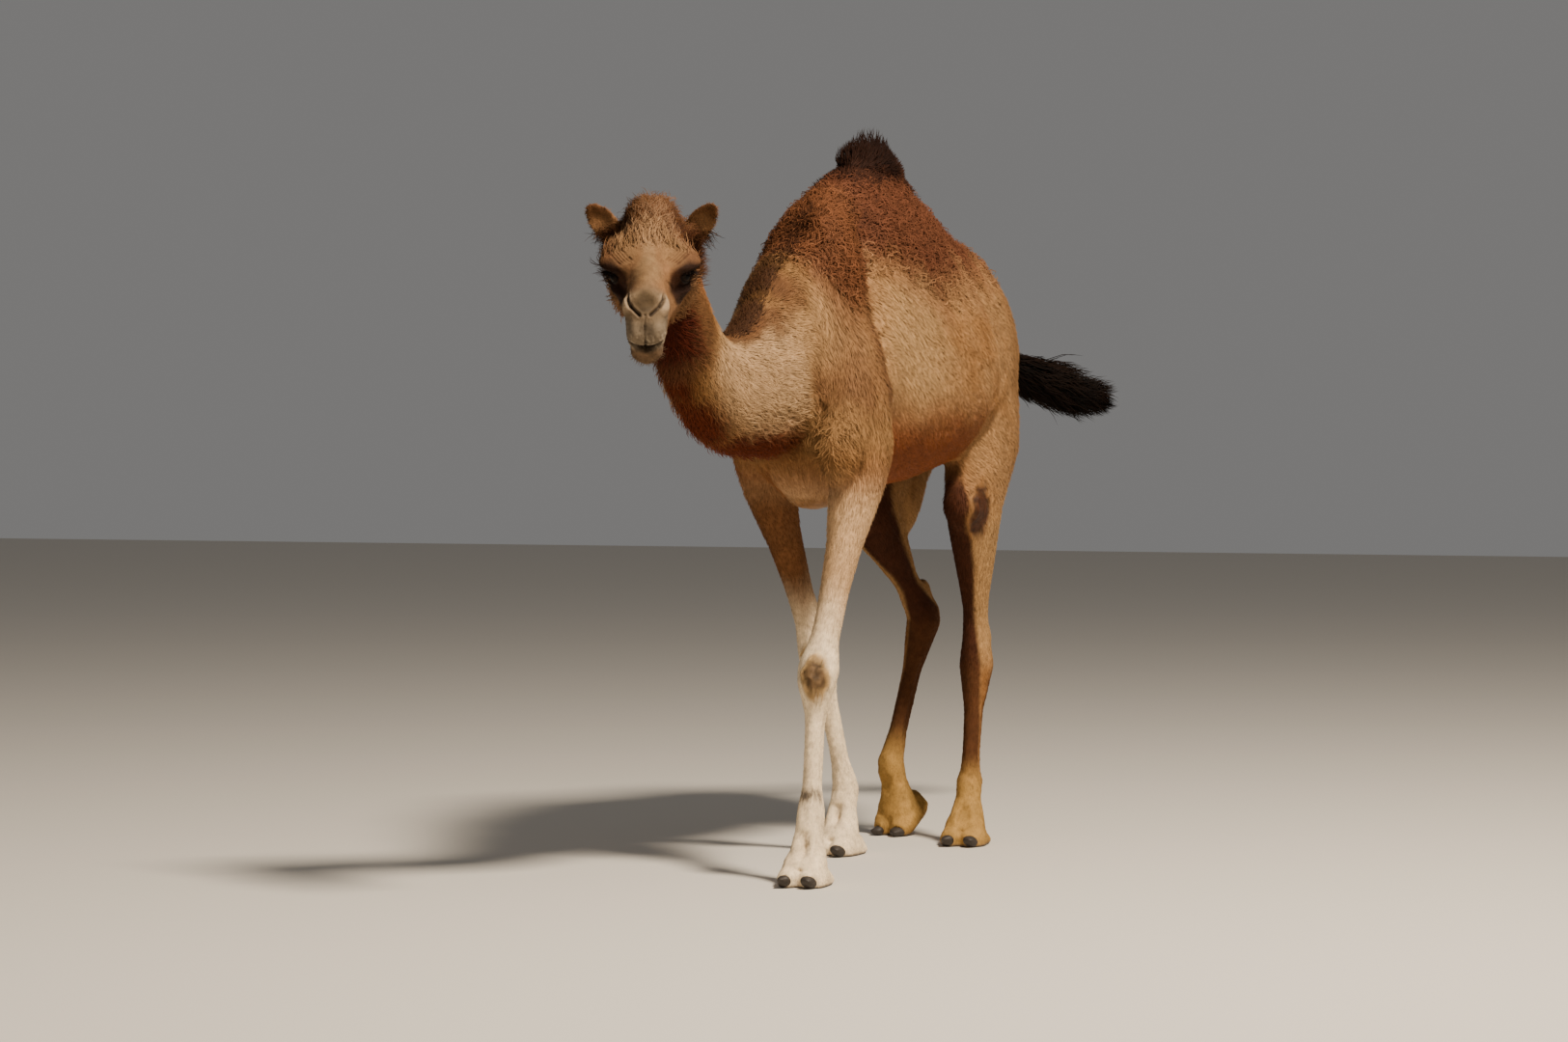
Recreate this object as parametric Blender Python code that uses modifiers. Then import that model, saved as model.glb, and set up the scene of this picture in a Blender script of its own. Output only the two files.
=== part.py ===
"""A dromedary camel at life size, walking, as a still museum model.

The camel faces -Y, its left side is +X and it stands on the floor at z = 0. Its body is
modelled whole, as lofts and rounded masses that are blended into one surface, and is then
parted by thin cuts where a person would name its parts. Ears, eyes and nails are solids of
their own. Every outline reaches out to the tips of the coat.
"""
import math

import bmesh
import bpy
import numpy as np
from mathutils import Euler, Matrix, Vector

OBJECT_NAME = "dromedary_camel"

# Driving dimensions, in metres.
HUMP_TOP = 1.975                            # crest of the hump, under its tuft of hair
TUFT_TOP = 2.06                             # tips of the black tuft on the hump
RUMP_TOP = 1.775
BRISKET = 1.03                              # lowest line of the chest between the forelegs
BARREL_HALF = 0.300                         # half the width of the ribs at their widest
HEAD_EYES = Vector((0.0, -1.445, 1.597))    # midpoint between the two eyes
HEAD_YAW = 22.0                             # degrees that the head turns to the camel's left
HEAD_PITCH = 28.0                           # degrees that its nose points down
HEAD_SCALE = 1.04
EAR_LENGTH = 0.110
EAR_POINTS = 14
EYE_RADIUS = 0.022
EYE_PLACE = Vector((0.076, -0.020, 0.004))  # left eye, in the head's own frame
GAP = 0.0004                                # left open between pieces that touch
CUT = 0.0005                                # thickness of the thin cuts that part the body
SOLE_SINK = 0.006                           # feet are modelled this far below the floor, then trimmed

# Fineness of the surface.
TORSO_VOXEL = 0.012
BODY_VOXEL = 0.006
HEAD_VOXEL = 0.004
FIRST_TRIANGLES = 16000
BODY_TRIANGLES = 4850
RING_POINTS = 40
HEAD_REACH = 0.27                           # the head lies within this distance of the eyes

# Where each joint of the legs stands in this step (x, y, z); yaw and heel_lift are in degrees.
FORE_LEFT = {"blade": (0.165, -0.46, 1.42), "elbow": (0.185, -0.555, 1.08), "knee": (0.132, -0.705, 0.555),
             "fetlock": (0.126, -0.735, 0.185), "yaw": 4, "heel_lift": 0}
FORE_RIGHT = {"blade": (-0.165, -0.40, 1.42), "elbow": (-0.200, -0.30, 1.08), "knee": (-0.132, -0.090, 0.570),
              "fetlock": (-0.096, 0.020, 0.190), "yaw": -4, "heel_lift": 0}
HIND_LEFT = {"hip": (0.135, 0.56, 1.42), "stifle": (0.170, 0.345, 1.00), "hock": (0.140, 0.445, 0.530),
             "fetlock": (0.130, 0.415, 0.165), "yaw": 6, "heel_lift": 0}
HIND_RIGHT = {"hip": (-0.135, 0.60, 1.42), "stifle": (-0.175, 0.385, 0.985), "hock": (-0.084, 0.590, 0.655),
              "fetlock": (-0.165, 0.530, 0.225), "yaw": -14, "heel_lift": 30}

LEGS = {"foreleg_left": FORE_LEFT, "foreleg_right": FORE_RIGHT,
        "hindleg_left": HIND_LEFT, "hindleg_right": HIND_RIGHT}

# Half-thickness of a leg, sideways and fore-and-aft, at shares of the way along each bone.
FORE_SHAPE = (("blade", "elbow", ((0.0, 0.040, 0.060), (0.3, 0.070, 0.110),
                                  (0.6, 0.088, 0.130), (0.95, 0.080, 0.100))),
              ("elbow", "knee", ((0.15, 0.067, 0.082), (0.35, 0.050, 0.061), (0.62, 0.039, 0.047),
                                 (0.82, 0.041, 0.045), (0.93, 0.055, 0.053))),
              ("knee", "fetlock", ((0.02, 0.057, 0.057), (0.14, 0.046, 0.049), (0.32, 0.027, 0.036),
                                   (0.75, 0.025, 0.032), (0.95, 0.034, 0.040))))
HIND_SHAPE = (("hip", "stifle", ((0.0, 0.050, 0.100), (0.25, 0.085, 0.190),
                                 (0.5, 0.098, 0.200), (0.92, 0.082, 0.135))),
              ("stifle", "hock", ((0.15, 0.072, 0.110), (0.40, 0.054, 0.074), (0.66, 0.038, 0.048),
                                  (0.85, 0.040, 0.056))),
              ("hock", "fetlock", ((0.0, 0.050, 0.062), (0.14, 0.044, 0.052), (0.38, 0.028, 0.035),
                                   (0.75, 0.026, 0.033), (0.95, 0.035, 0.039))))


# ------------------------------------------------------------------ helpers

def side_word(side):
    return "left" if side > 0 else "right"


def clear_scene():
    for thing in list(bpy.data.objects):
        bpy.data.objects.remove(thing, do_unlink=True)


def make_object(name, shape):
    """Turn a bmesh into an object in the scene."""
    mesh = bpy.data.meshes.new(name)
    shape.to_mesh(mesh)
    shape.free()
    thing = bpy.data.objects.new(name, mesh)
    bpy.context.scene.collection.objects.link(thing)
    return thing


def smooth_rows(rows, steps):
    """Fill in between stations with a Catmull-Rom curve through every column."""
    rows = np.array(rows, float)
    padded = np.vstack([2 * rows[0] - rows[1], rows, 2 * rows[-1] - rows[-2]])
    filled = []
    for start in range(len(rows) - 1):
        before, here, after, beyond = padded[start:start + 4]
        for step in range(steps):
            t = step / steps
            bend = 2 * before - 5 * here + 4 * after - beyond
            twist = 3 * (here - after) + beyond - before
            filled.append(here + 0.5 * t * (after - before + t * (bend + t * twist)))
    filled.append(rows[-1])
    return np.array(filled)


def loft(name, rings):
    """A closed skin through rings of equally many points, capped at both ends."""
    shape = bmesh.new()
    loops = [[shape.verts.new(point) for point in ring] for ring in rings]
    count = len(loops[0])
    for lower, upper in zip(loops, loops[1:]):
        for i in range(count):
            j = (i + 1) % count
            shape.faces.new((lower[i], lower[j], upper[j], upper[i]))
    shape.faces.new(loops[0][::-1])
    shape.faces.new(loops[-1])
    bmesh.ops.recalc_face_normals(shape, faces=shape.faces)
    return make_object(name, shape)


def ball(name, centre, radii, turn=(0, 0, 0), segments=32, rings=20):
    """An ellipsoid; turn is in degrees about x, y and z."""
    shape = bmesh.new()
    bmesh.ops.create_uvsphere(shape, u_segments=segments, v_segments=rings, radius=1)
    angles = Euler([math.radians(angle) for angle in turn])
    place = Matrix.LocRotScale(Vector(centre), angles, Vector(radii))
    bmesh.ops.transform(shape, matrix=place, verts=shape.verts)
    return make_object(name, shape)


def tube(name, stations, steps=5, side=Vector((1, 0, 0))):
    """A limb through stations of x, y, z, half-width along side and half-depth across it."""
    rows = smooth_rows(stations, steps)
    path = [Vector(row[:3]) for row in rows]
    rings = []
    for i, row in enumerate(rows):
        ahead = (path[min(i + 1, len(path) - 1)] - path[max(i - 1, 0)]).normalized()
        across = ahead.cross(side).normalized()
        wide = across.cross(ahead).normalized()
        ring = []
        for k in range(RING_POINTS):
            angle = 2 * math.pi * k / RING_POINTS
            ring.append(path[i] + wide * (row[3] * math.cos(angle)) + across * (row[4] * math.sin(angle)))
        rings.append(ring)
    return loft(name, rings)


def apply_modifiers(thing):
    """Replace an object's mesh by its evaluated one."""
    graph = bpy.context.evaluated_depsgraph_get()
    mesh = bpy.data.meshes.new_from_object(thing.evaluated_get(graph))
    thing.modifiers.clear()
    thing.data = mesh
    return thing


def join(name, things):
    """Put several meshes into one object and remove the originals."""
    shape = bmesh.new()
    for thing in things:
        mesh = thing.data.copy()
        mesh.transform(thing.matrix_world)
        shape.from_mesh(mesh)
        bpy.data.objects.remove(thing, do_unlink=True)
    return make_object(name, shape)


def blend(name, things, voxel, rounds):
    """Melt overlapping masses into one skin and smooth the creases between them."""
    body = join(name, things)
    remesh = body.modifiers.new("melt", "REMESH")
    remesh.mode = "VOXEL"
    remesh.voxel_size = voxel
    soften = body.modifiers.new("soften", "SMOOTH")
    soften.factor = 0.5
    soften.iterations = rounds
    return apply_modifiers(body)


def boolean(thing, cutter, operation):
    """Cut or join with the exact solver; the cutter is kept."""
    step = thing.modifiers.new(operation.lower(), "BOOLEAN")
    step.operation = operation
    step.solver = "EXACT"
    step.object = cutter
    return apply_modifiers(thing)


def head_place():
    """From the head's own frame (nose along -Y, between the eyes) to the world."""
    turn = Euler((math.radians(HEAD_PITCH), 0, math.radians(HEAD_YAW)))
    return Matrix.LocRotScale(HEAD_EYES, turn, None)


# ------------------------------------------------------------------ torso

def trunk_ring(y, top, bottom, half_width, wide_z, peak):
    """One upright section: round below, and drawn up to a ridge above as peak grows."""
    ring = []
    for k in range(RING_POINTS):
        angle = 2 * math.pi * k / RING_POINTS
        rise = math.sin(angle)
        spread = abs(math.cos(angle))
        if rise > 0:
            x = half_width * spread ** peak
            z = wide_z + (top - wide_z) * rise
        else:
            x = half_width * spread ** 0.86
            z = wide_z + (wide_z - bottom) * rise
        ring.append((math.copysign(x, math.cos(angle)), y, z))
    return ring


def make_trunk():
    # y, top line, belly line, half-width, height of the widest line, sharpness of the back
    stations = (
        (-0.670, 1.52, 1.15, 0.085, 1.34, 1.0),
        (-0.620, 1.65, 1.07, 0.145, 1.32, 1.0),
        (-0.530, 1.745, BRISKET + 0.01, 0.200, 1.31, 1.05),
        (-0.450, 1.820, BRISKET, 0.222, 1.31, 1.0),
        (-0.350, 1.885, BRISKET, 0.245, 1.31, 1.0),
        (-0.200, 1.945, BRISKET + 0.01, 0.272, 1.32, 1.25),
        (-0.040, HUMP_TOP - 0.003, 1.050, 0.294, 1.33, 1.75),
        (0.080, HUMP_TOP, 1.066, BARREL_HALF, 1.34, 2.0),
        (0.200, 1.935, 1.088, 0.295, 1.35, 1.95),
        (0.330, 1.850, 1.115, 0.272, 1.37, 1.65),
        (0.450, 1.800, 1.150, 0.245, 1.39, 1.35),
        (0.550, RUMP_TOP, 1.190, 0.222, 1.41, 1.12),
        (0.650, 1.725, 1.225, 0.200, 1.42, 1.0),
        (0.740, 1.640, 1.260, 0.160, 1.42, 1.0),
        (0.810, 1.530, 1.310, 0.095, 1.42, 1.0),
    )
    return loft("trunk_mass", [trunk_ring(*row) for row in smooth_rows(stations, 4)])


def make_neck():
    # x, y, z of the middle line, half-width and half-depth
    stations = (
        (0.000, -0.340, 1.500, 0.140, 0.280),
        (0.000, -0.560, 1.440, 0.140, 0.270),
        (0.000, -0.730, 1.354, 0.122, 0.223),
        (-0.004, -0.880, 1.310, 0.110, 0.180),
        (-0.012, -1.010, 1.308, 0.101, 0.152),
        (-0.022, -1.120, 1.368, 0.092, 0.125),
        (-0.034, -1.195, 1.470, 0.086, 0.114),
        (-0.042, -1.255, 1.578, 0.082, 0.104),
        (-0.044, -1.312, 1.650, 0.074, 0.084),
        (-0.036, -1.360, 1.690, 0.052, 0.050),
    )
    return tube("neck_mass", stations)


def make_shoulder(side, leg):
    """The blade and the muscle over it, down to the point of the shoulder."""
    blade = Vector(leg["blade"])
    elbow = Vector(leg["elbow"])
    point = elbow + Vector((-0.010 * side, -0.085, 0.110))
    lean = math.degrees(math.atan2(point.y - blade.y, blade.z - point.z))
    return [
        ball("blade", blade.lerp(elbow, 0.25), (0.092, 0.150, 0.290), (lean, -8 * side, 0)),
        ball("point", point, (0.072, 0.075, 0.150), (lean + 8, 0, 0)),
        ball("blade_top", (0.085 * side, blade.y + 0.020, 1.64), (0.085, 0.150, 0.200), (0, -16 * side, 0)),
    ]


def make_haunch(side, leg):
    """The rump and the thigh muscle over the hip."""
    hip = Vector(leg["hip"])
    return [
        ball("rump", (0.083 * side, 0.55, 1.52), (0.108, 0.190, 0.200), (0, -14 * side, 0)),
        ball("thigh", (hip.x * 0.94, hip.y - 0.030, 1.30), (0.090, 0.205, 0.270), (14, 0, 0)),
        ball("seat", (0.074 * side, 0.690, 1.37), (0.068, 0.085, 0.170), (10, 0, 0)),
        ball("hamstring", (hip.x * 0.98, hip.y - 0.005, 1.15), (0.068, 0.105, 0.300), (-20, 0, 0)),
    ]


def make_tuft():
    """The crest of long hair along the top of the hump."""
    return [
        ball("crest_low", (0, -0.030, HUMP_TOP - 0.020), (0.058, 0.200, 0.062), (-4, 0, 0)),
        ball("crest", (0, -0.030, TUFT_TOP - 0.100), (0.040, 0.120, 0.104)),
    ]


def make_breast():
    """The breast before the forelegs, and the horny pad under the chest."""
    return [
        ball("pad", (0, -0.43, 1.030), (0.075, 0.105, 0.045)),
        ball("breast", (0, -0.62, 1.26), (0.130, 0.120, 0.180), (14, 0, 0)),
        ball("keel", (0, -0.43, 1.085), (0.100, 0.180, 0.085)),
    ]


def leg_stations(leg, shape):
    stations = []
    for upper, lower, cuts in shape:
        for share, sideways, deep in cuts:
            place = Vector(leg[upper]).lerp(Vector(leg[lower]), share)
            stations.append((*place, sideways, deep))
    frame = foot_place(leg)
    for y, z, sideways, deep in PASTERN:
        stations.append((*(frame @ Vector((0, y, z))), sideways, deep))
    return stations


# ------------------------------------------------------------------ legs and feet

def foot_place(leg):
    """Frame of a foot: on the floor under the ankle, toes along -Y, tipped up at the heel."""
    ankle = Vector(leg["fetlock"])
    lift = math.radians(leg["heel_lift"])
    yaw = Matrix.Rotation(math.radians(leg["yaw"]), 4, "Z")
    toe = Vector((0, -0.105, 0.012))
    tip = Matrix.Translation(toe) @ Matrix.Rotation(lift, 4, "X") @ Matrix.Translation(-toe)
    local_ankle = tip @ Vector((0, 0.006, FOOT_HEIGHT))
    ground = ankle - yaw.to_3x3() @ local_ankle
    return Matrix.Translation((ground.x, ground.y, 0)) @ yaw @ tip


FOOT_HEIGHT = 0.185
FOOT_SCALE = 0.95
PASTERN = ((0.006, 0.185, 0.040, 0.043), (-0.004, 0.135, 0.038, 0.039), (-0.020, 0.080, 0.052, 0.046),
           (-0.034, 0.035, 0.060, 0.055))     # y, z, half-width and half-depth below the ankle


def make_foot(leg):
    """Pastern, two toes and the broad pad that they share."""
    frame = foot_place(leg)
    width = FOOT_SCALE
    masses = [ball("pad", (0, -0.004, 0.018), (0.068 * width, 0.088 * width, 0.034)),
              ball("heel", (0, 0.030, 0.034), (0.044 * width, 0.046 * width, 0.040))]
    for side in (-1, 1):
        masses.append(ball("toe", (0.036 * side * width, -0.058 * width, 0.026),
                           (0.038 * width, 0.068 * width, 0.038), (6, 0, -5 * side)))
        masses.append(ball("knuckle", (0.030 * side, -0.040, 0.066), (0.030, 0.045, 0.030), (30, 0, 0)))
    for mass in masses:
        mass.data.transform(frame @ Matrix.Translation((0, 0, -SOLE_SINK)))
    return masses


def make_nails(name, leg):
    """The two broad nails at the front of a foot."""
    nails = []
    for side in (-1, 1):
        centre = Vector((0.037 * side, -0.118, 0.0)) * FOOT_SCALE + Vector((0, 0, 0.020))
        nail_name = f"{name}_nail_{side_word(side)}"
        nail = ball(nail_name, centre, (0.019, 0.027, 0.014), (-30, 0, -5 * side), 8, 5)
        nail.data.transform(foot_place(leg))
        nails.append(nail)
    return nails


def make_leg_masses():
    masses = []
    for side, leg in ((1, FORE_LEFT), (-1, FORE_RIGHT)):
        masses.append(tube("fore", leg_stations(leg, FORE_SHAPE)))
        knee = Vector(leg["knee"])
        masses.append(ball("knee_pad", knee + Vector((0, -0.022, -0.010)), (0.044, 0.044, 0.068)))
        elbow = Vector(leg["elbow"])
        masses.append(ball("elbow_knob", elbow + Vector((0, 0.075, 0.01)), (0.045, 0.05, 0.07)))
        masses.extend(make_foot(leg))
    for side, leg in ((1, HIND_LEFT), (-1, HIND_RIGHT)):
        masses.append(tube("hind", leg_stations(leg, HIND_SHAPE)))
        hock = Vector(leg["hock"])
        shin = (Vector(leg["stifle"]) - hock).normalized()
        heel = hock + shin * 0.060 + Vector((0, 0.052, 0.010))
        masses.append(ball("hock_point", heel, (0.030, 0.034, 0.060)))
        stifle = Vector(leg["stifle"])
        masses.append(ball("knee_cap", stifle + Vector((0, -0.085, 0.0)), (0.062, 0.055, 0.085)))
        masses.extend(make_foot(leg))
    return masses


def make_tail_masses():
    """The dock, and its black tuft swung out to the camel's left."""
    dock = ((0.000, 0.780, 1.500, 0.050, 0.050), (0.010, 0.880, 1.478, 0.040, 0.042),
            (0.040, 0.955, 1.425, 0.028, 0.034), (0.085, 1.010, 1.385, 0.028, 0.062),
            (0.140, 1.060, 1.358, 0.032, 0.078), (0.200, 1.110, 1.336, 0.030, 0.072),
            (0.255, 1.155, 1.322, 0.024, 0.054), (0.300, 1.190, 1.312, 0.012, 0.018))
    return [tube("dock", dock, side=Vector((0.64, -0.77, 0)))]


# ------------------------------------------------------------------ head

def head_ring(y, top, bottom, half_width, wide_z, corner):
    """A section of the head; corner is 2 for an ellipse and more for a squarer outline."""
    ring = []
    for k in range(RING_POINTS):
        angle = 2 * math.pi * k / RING_POINTS
        x = half_width * math.copysign(abs(math.cos(angle)) ** (2 / corner), math.cos(angle))
        reach = top - wide_z if math.sin(angle) > 0 else wide_z - bottom
        z = wide_z + reach * math.copysign(abs(math.sin(angle)) ** (2 / corner), math.sin(angle))
        ring.append((x, y, z))
    return ring


def swell(body, centre, radii, push):
    """Push the skin round a point, less and less away from it, the same on both sides."""
    for vert in body.data.vertices:
        side = -1 if vert.co.x < 0 else 1
        away = sum(((vert.co[i] * (side if i == 0 else 1) - centre[i]) / radii[i]) ** 2 for i in range(3))
        if away < 9:
            share = math.exp(-away)
            vert.co += Vector((push[0] * side, push[1], push[2])) * share


def make_head():
    """The head in its own frame: a skull-shaped loft, then the forms that stand out of it."""
    # y along the nose, top, bottom, half-width, height of the widest line, corner
    skull = (
        (0.185, 0.055, -0.060, 0.040, 0.000, 2.0),
        (0.165, 0.090, -0.092, 0.064, 0.000, 2.0),
        (0.125, 0.116, -0.128, 0.080, -0.005, 2.1),
        (0.075, 0.116, -0.150, 0.089, -0.012, 2.2),
        (0.025, 0.100, -0.146, 0.091, -0.012, 2.3),
        (-0.015, 0.080, -0.132, 0.083, -0.008, 2.3),
        (-0.055, 0.063, -0.117, 0.070, -0.014, 2.2),
        (-0.100, 0.054, -0.110, 0.058, -0.024, 2.2),
        (-0.145, 0.048, -0.110, 0.051, -0.030, 2.3),
        (-0.185, 0.034, -0.118, 0.048, -0.040, 2.5),
        (-0.215, 0.014, -0.114, 0.044, -0.048, 2.5),
        (-0.236, -0.012, -0.094, 0.032, -0.052, 2.2),
    )
    head = loft("head_form", [head_ring(*row) for row in smooth_rows(skull, 4)])
    head = blend("head_form", [head], HEAD_VOXEL, 2)
    forms = (
        ((0.082, -0.008, 0.042), (0.046, 0.050, 0.034), (0.046, -0.010, 0.002)),      # brow over the eye
        ((0.090, 0.060, 0.050), (0.040, 0.030, 0.040), (-0.012, 0.000, 0.000)),      # temple
        ((0.092, -0.022, 0.004), (0.034, 0.026, 0.018), (-0.009, 0.004, 0.000)),     # socket of the eye
        ((0.082, -0.012, -0.036), (0.030, 0.050, 0.017), (0.013, 0.000, 0.000)),     # bone under the eye
        ((0.080, 0.060, -0.080), (0.050, 0.052, 0.052), (0.012, 0.000, -0.004)),     # muscle of the jaw
        ((0.060, -0.085, 0.000), (0.030, 0.036, 0.034), (-0.010, 0.000, 0.000)),     # hollow beside the nose
        ((0.000, -0.125, 0.048), (0.030, 0.055, 0.030), (0.000, 0.000, 0.007)),      # arch of the nose
        ((0.040, -0.184, 0.006), (0.022, 0.030, 0.020), (0.013, -0.004, 0.007)),     # wing of the nostril
        ((0.026, -0.226, -0.046), (0.020, 0.032, 0.034), (0.004, -0.010, 0.000)),    # lobes of the upper lip
        ((0.000, -0.240, -0.042), (0.005, 0.030, 0.034), (0.000, 0.006, 0.000)),     # cleft between them
        ((0.000, -0.236, -0.086), (0.034, 0.024, 0.006), (0.000, 0.009, 0.000)),     # mouth, in front
        ((0.048, -0.178, -0.084), (0.020, 0.048, 0.006), (-0.007, 0.000, 0.000)),    # mouth, along the side
        ((0.072, 0.098, 0.058), (0.024, 0.030, 0.026), (0.014, 0.000, 0.006)),       # root of the ear
        ((0.000, -0.206, -0.112), (0.036, 0.032, 0.020), (0.000, -0.012, -0.022)),   # chin
        ((0.000, 0.095, 0.116), (0.085, 0.075, 0.050), (0.000, -0.004, 0.028)),      # tufted crown
    )
    for form in forms:
        swell(head, *form)
    for vert in head.data.vertices:
        vert.co *= HEAD_SCALE
    head.data.transform(head_place())
    return head


def make_ear(side):
    """A short round-tipped ear, dished in front, standing out and up beside the crown."""
    # share of the length, half-width, depth of the dish, half-thickness
    rows = smooth_rows(((-0.15, 0.020, 0.004, 0.014), (0.00, 0.023, 0.008, 0.013),
                        (0.20, 0.032, 0.013, 0.009), (0.45, 0.036, 0.015, 0.007),
                        (0.70, 0.031, 0.012, 0.006), (0.88, 0.020, 0.007, 0.005),
                        (1.00, 0.008, 0.002, 0.003)), 1)
    rings = []
    for share, half, dish, wall in rows:
        ring = []
        for k in range(EAR_POINTS):
            angle = 2 * math.pi * k / EAR_POINTS
            across = math.cos(angle)
            depth = dish * (1 - across * across) + wall * math.sin(angle)
            ring.append((half * across, depth, share * EAR_LENGTH))
        rings.append(ring)
    ear = loft("ear_" + side_word(side), rings)
    turn = Euler((math.radians(-14), math.radians(36 * side), math.radians(-20 * side)))
    root = Vector((0.088 * side, 0.098, 0.051)) * HEAD_SCALE
    ear.data.transform(head_place() @ Matrix.LocRotScale(root, turn, None))
    return ear


def make_eye(side):
    place = Vector((EYE_PLACE.x * side, EYE_PLACE.y, EYE_PLACE.z)) * HEAD_SCALE
    eye = ball("eye_" + side_word(side), place, [EYE_RADIUS] * 3, (0, 90, 0), 14, 9)
    eye.data.transform(head_place())
    return eye


# ------------------------------------------------------------------ parting the body

def plate(centre, normal, size, thickness=CUT):
    """A thin square cutter across the body; size is its half-width and half-height."""
    shape = bmesh.new()
    bmesh.ops.create_cube(shape, size=2)
    turn = Vector(normal).to_track_quat("Z", "Y")
    place = Matrix.LocRotScale(Vector(centre), turn, Vector((size[0], size[1], thickness / 2)))
    bmesh.ops.transform(shape, matrix=place, verts=shape.verts)
    return make_object("cut", shape)


def limb_cut(leg, upper, lower, share, size=0.085):
    """A cut square across the bone between two joints."""
    start = Vector(leg[upper])
    end = Vector(leg[lower])
    return plate(start.lerp(end, share), end - start, (size, size))


def make_cutters():
    cuts = [
        plate((-0.052, -1.317, 1.600), (-0.371, 0.918, -0.136), (0.17, 0.17)),  # head from neck
        plate((-0.015, -1.060, 1.330), (-0.05, -0.86, 0.50), (0.16, 0.24)),     # upper from lower neck
        plate((0, -0.760, 1.400), (0, -0.96, -0.24), (0.30, 0.33)),             # neck from trunk
        plate((0, -0.060, 1.800), (0, -0.050, 0.998), (0.62, 0.62)),            # hump from trunk
        plate((0, -0.420, 1.022), (0, 0, 1), (0.40, 0.50)),                     # forelegs and chest pad
        plate((0, 0.500, 1.146), (0, -0.306, 0.952), (0.40, 0.43)),             # hind legs
        plate((0.006, 0.868, 1.470), (0.10, 0.96, -0.28), (0.08, 0.08)),        # tail
        plate((0.098, 1.022, 1.388), (0.70, 0.62, -0.25), (0.12, 0.12)),        # dock from tuft
    ]
    for leg in (FORE_LEFT, FORE_RIGHT):
        cuts.append(limb_cut(leg, "elbow", "knee", 0.86))
        cuts.append(limb_cut(leg, "knee", "fetlock", 0.90))
    for leg in (HIND_LEFT, HIND_RIGHT):
        cuts.append(limb_cut(leg, "stifle", "hock", 0.80, 0.10))
        cuts.append(limb_cut(leg, "hock", "fetlock", 0.90))
    return join("cutters", cuts)


def split_loose(body):
    """Every closed body of a mesh as an object of its own."""
    source = bmesh.new()
    source.from_mesh(body.data)
    source.verts.ensure_lookup_table()
    seen = set()
    pieces = []
    for start in source.verts:
        if start.index in seen:
            continue
        group = []
        stack = [start]
        seen.add(start.index)
        while stack:
            vert = stack.pop()
            group.append(vert)
            for edge in vert.link_edges:
                other = edge.other_vert(vert)
                if other.index not in seen:
                    seen.add(other.index)
                    stack.append(other)
        pieces.append(group)
    things = []
    for group in pieces:
        shape = bmesh.new()
        copies = {vert: shape.verts.new(vert.co) for vert in group}
        faces = {face for vert in group for face in vert.link_faces}
        for face in sorted(faces, key=lambda face: face.index):
            shape.faces.new([copies[vert] for vert in face.verts])
        things.append(make_object("piece", shape))
    source.free()
    bpy.data.objects.remove(body, do_unlink=True)
    return things


def part_seeds():
    """Roughly the middle of each part that the cuts leave, by name."""
    seeds = {
        "head": head_place() @ Vector((0, -0.02, 0)),
        "neck_upper": Vector((-0.03, -1.17, 1.44)),
        "neck_lower": Vector((0, -0.90, 1.33)),
        "trunk": Vector((0, 0.05, 1.40)),
        "hump": Vector((0, 0.0, 1.85)),
        "chest_pad": Vector((0, -0.43, 1.00)),
        "tail_dock": Vector((0.045, 0.96, 1.43)),
        "tail_tuft": Vector((0.19, 1.10, 1.36)),
    }
    for name, leg in LEGS.items():
        top, middle = ("elbow", "knee") if "fore" in name else ("stifle", "hock")
        seeds[name + "_upper"] = Vector(leg[top]).lerp(Vector(leg[middle]), 0.3)
        seeds[name + "_cannon"] = Vector(leg[middle]).lerp(Vector(leg["fetlock"]), 0.4)
        seeds[name + "_foot"] = Vector(leg["fetlock"]) * 0.5 + foot_place(leg).translation * 0.5
    return seeds


def middle(thing):
    points = np.array([vert.co for vert in thing.data.vertices])
    return Vector((points.min(axis=0) + points.max(axis=0)) / 2)


def name_pieces(pieces):
    """Give each piece the name whose place is nearest to its middle."""
    seeds = part_seeds()
    named = {}
    for piece in pieces:
        place = middle(piece)
        name = min(seeds, key=lambda key: (seeds[key] - place).length)
        if name in named:
            raise ValueError("two pieces would be named " + name)
        piece.name = name
        named[name] = piece
    if len(named) < len(seeds):
        raise ValueError("a cut does not pass right through the body")
    return named


# ------------------------------------------------------------------ finishing

def triangle_count(thing):
    return sum(len(face.vertices) - 2 for face in thing.data.polygons)


def thin_out(body):
    """Thin the whole skin, then all but the head, where the forms are small."""
    first = body.modifiers.new("fewer", "DECIMATE")
    first.ratio = FIRST_TRIANGLES / triangle_count(body)
    apply_modifiers(body)
    group = body.vertex_groups.new(name="head")
    near = [vert.index for vert in body.data.vertices if (vert.co - HEAD_EYES).length < HEAD_REACH]
    group.add(near, 1.0, "REPLACE")
    second = body.modifiers.new("fewer", "DECIMATE")
    second.ratio = BODY_TRIANGLES / triangle_count(body)
    second.vertex_group = group.name
    second.invert_vertex_group = True
    apply_modifiers(body)
    body.vertex_groups.clear()
    return body


def floor_slab():
    """Everything under the floor, to trim the soles to small flats at one level."""
    shape = bmesh.new()
    bmesh.ops.create_cube(shape, size=1)
    place = Matrix.LocRotScale(Vector((0, 0, -0.1)), None, Vector((2, 4, 0.2)))
    bmesh.ops.transform(shape, matrix=place, verts=shape.verts)
    return make_object("floor_slab", shape)


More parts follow.
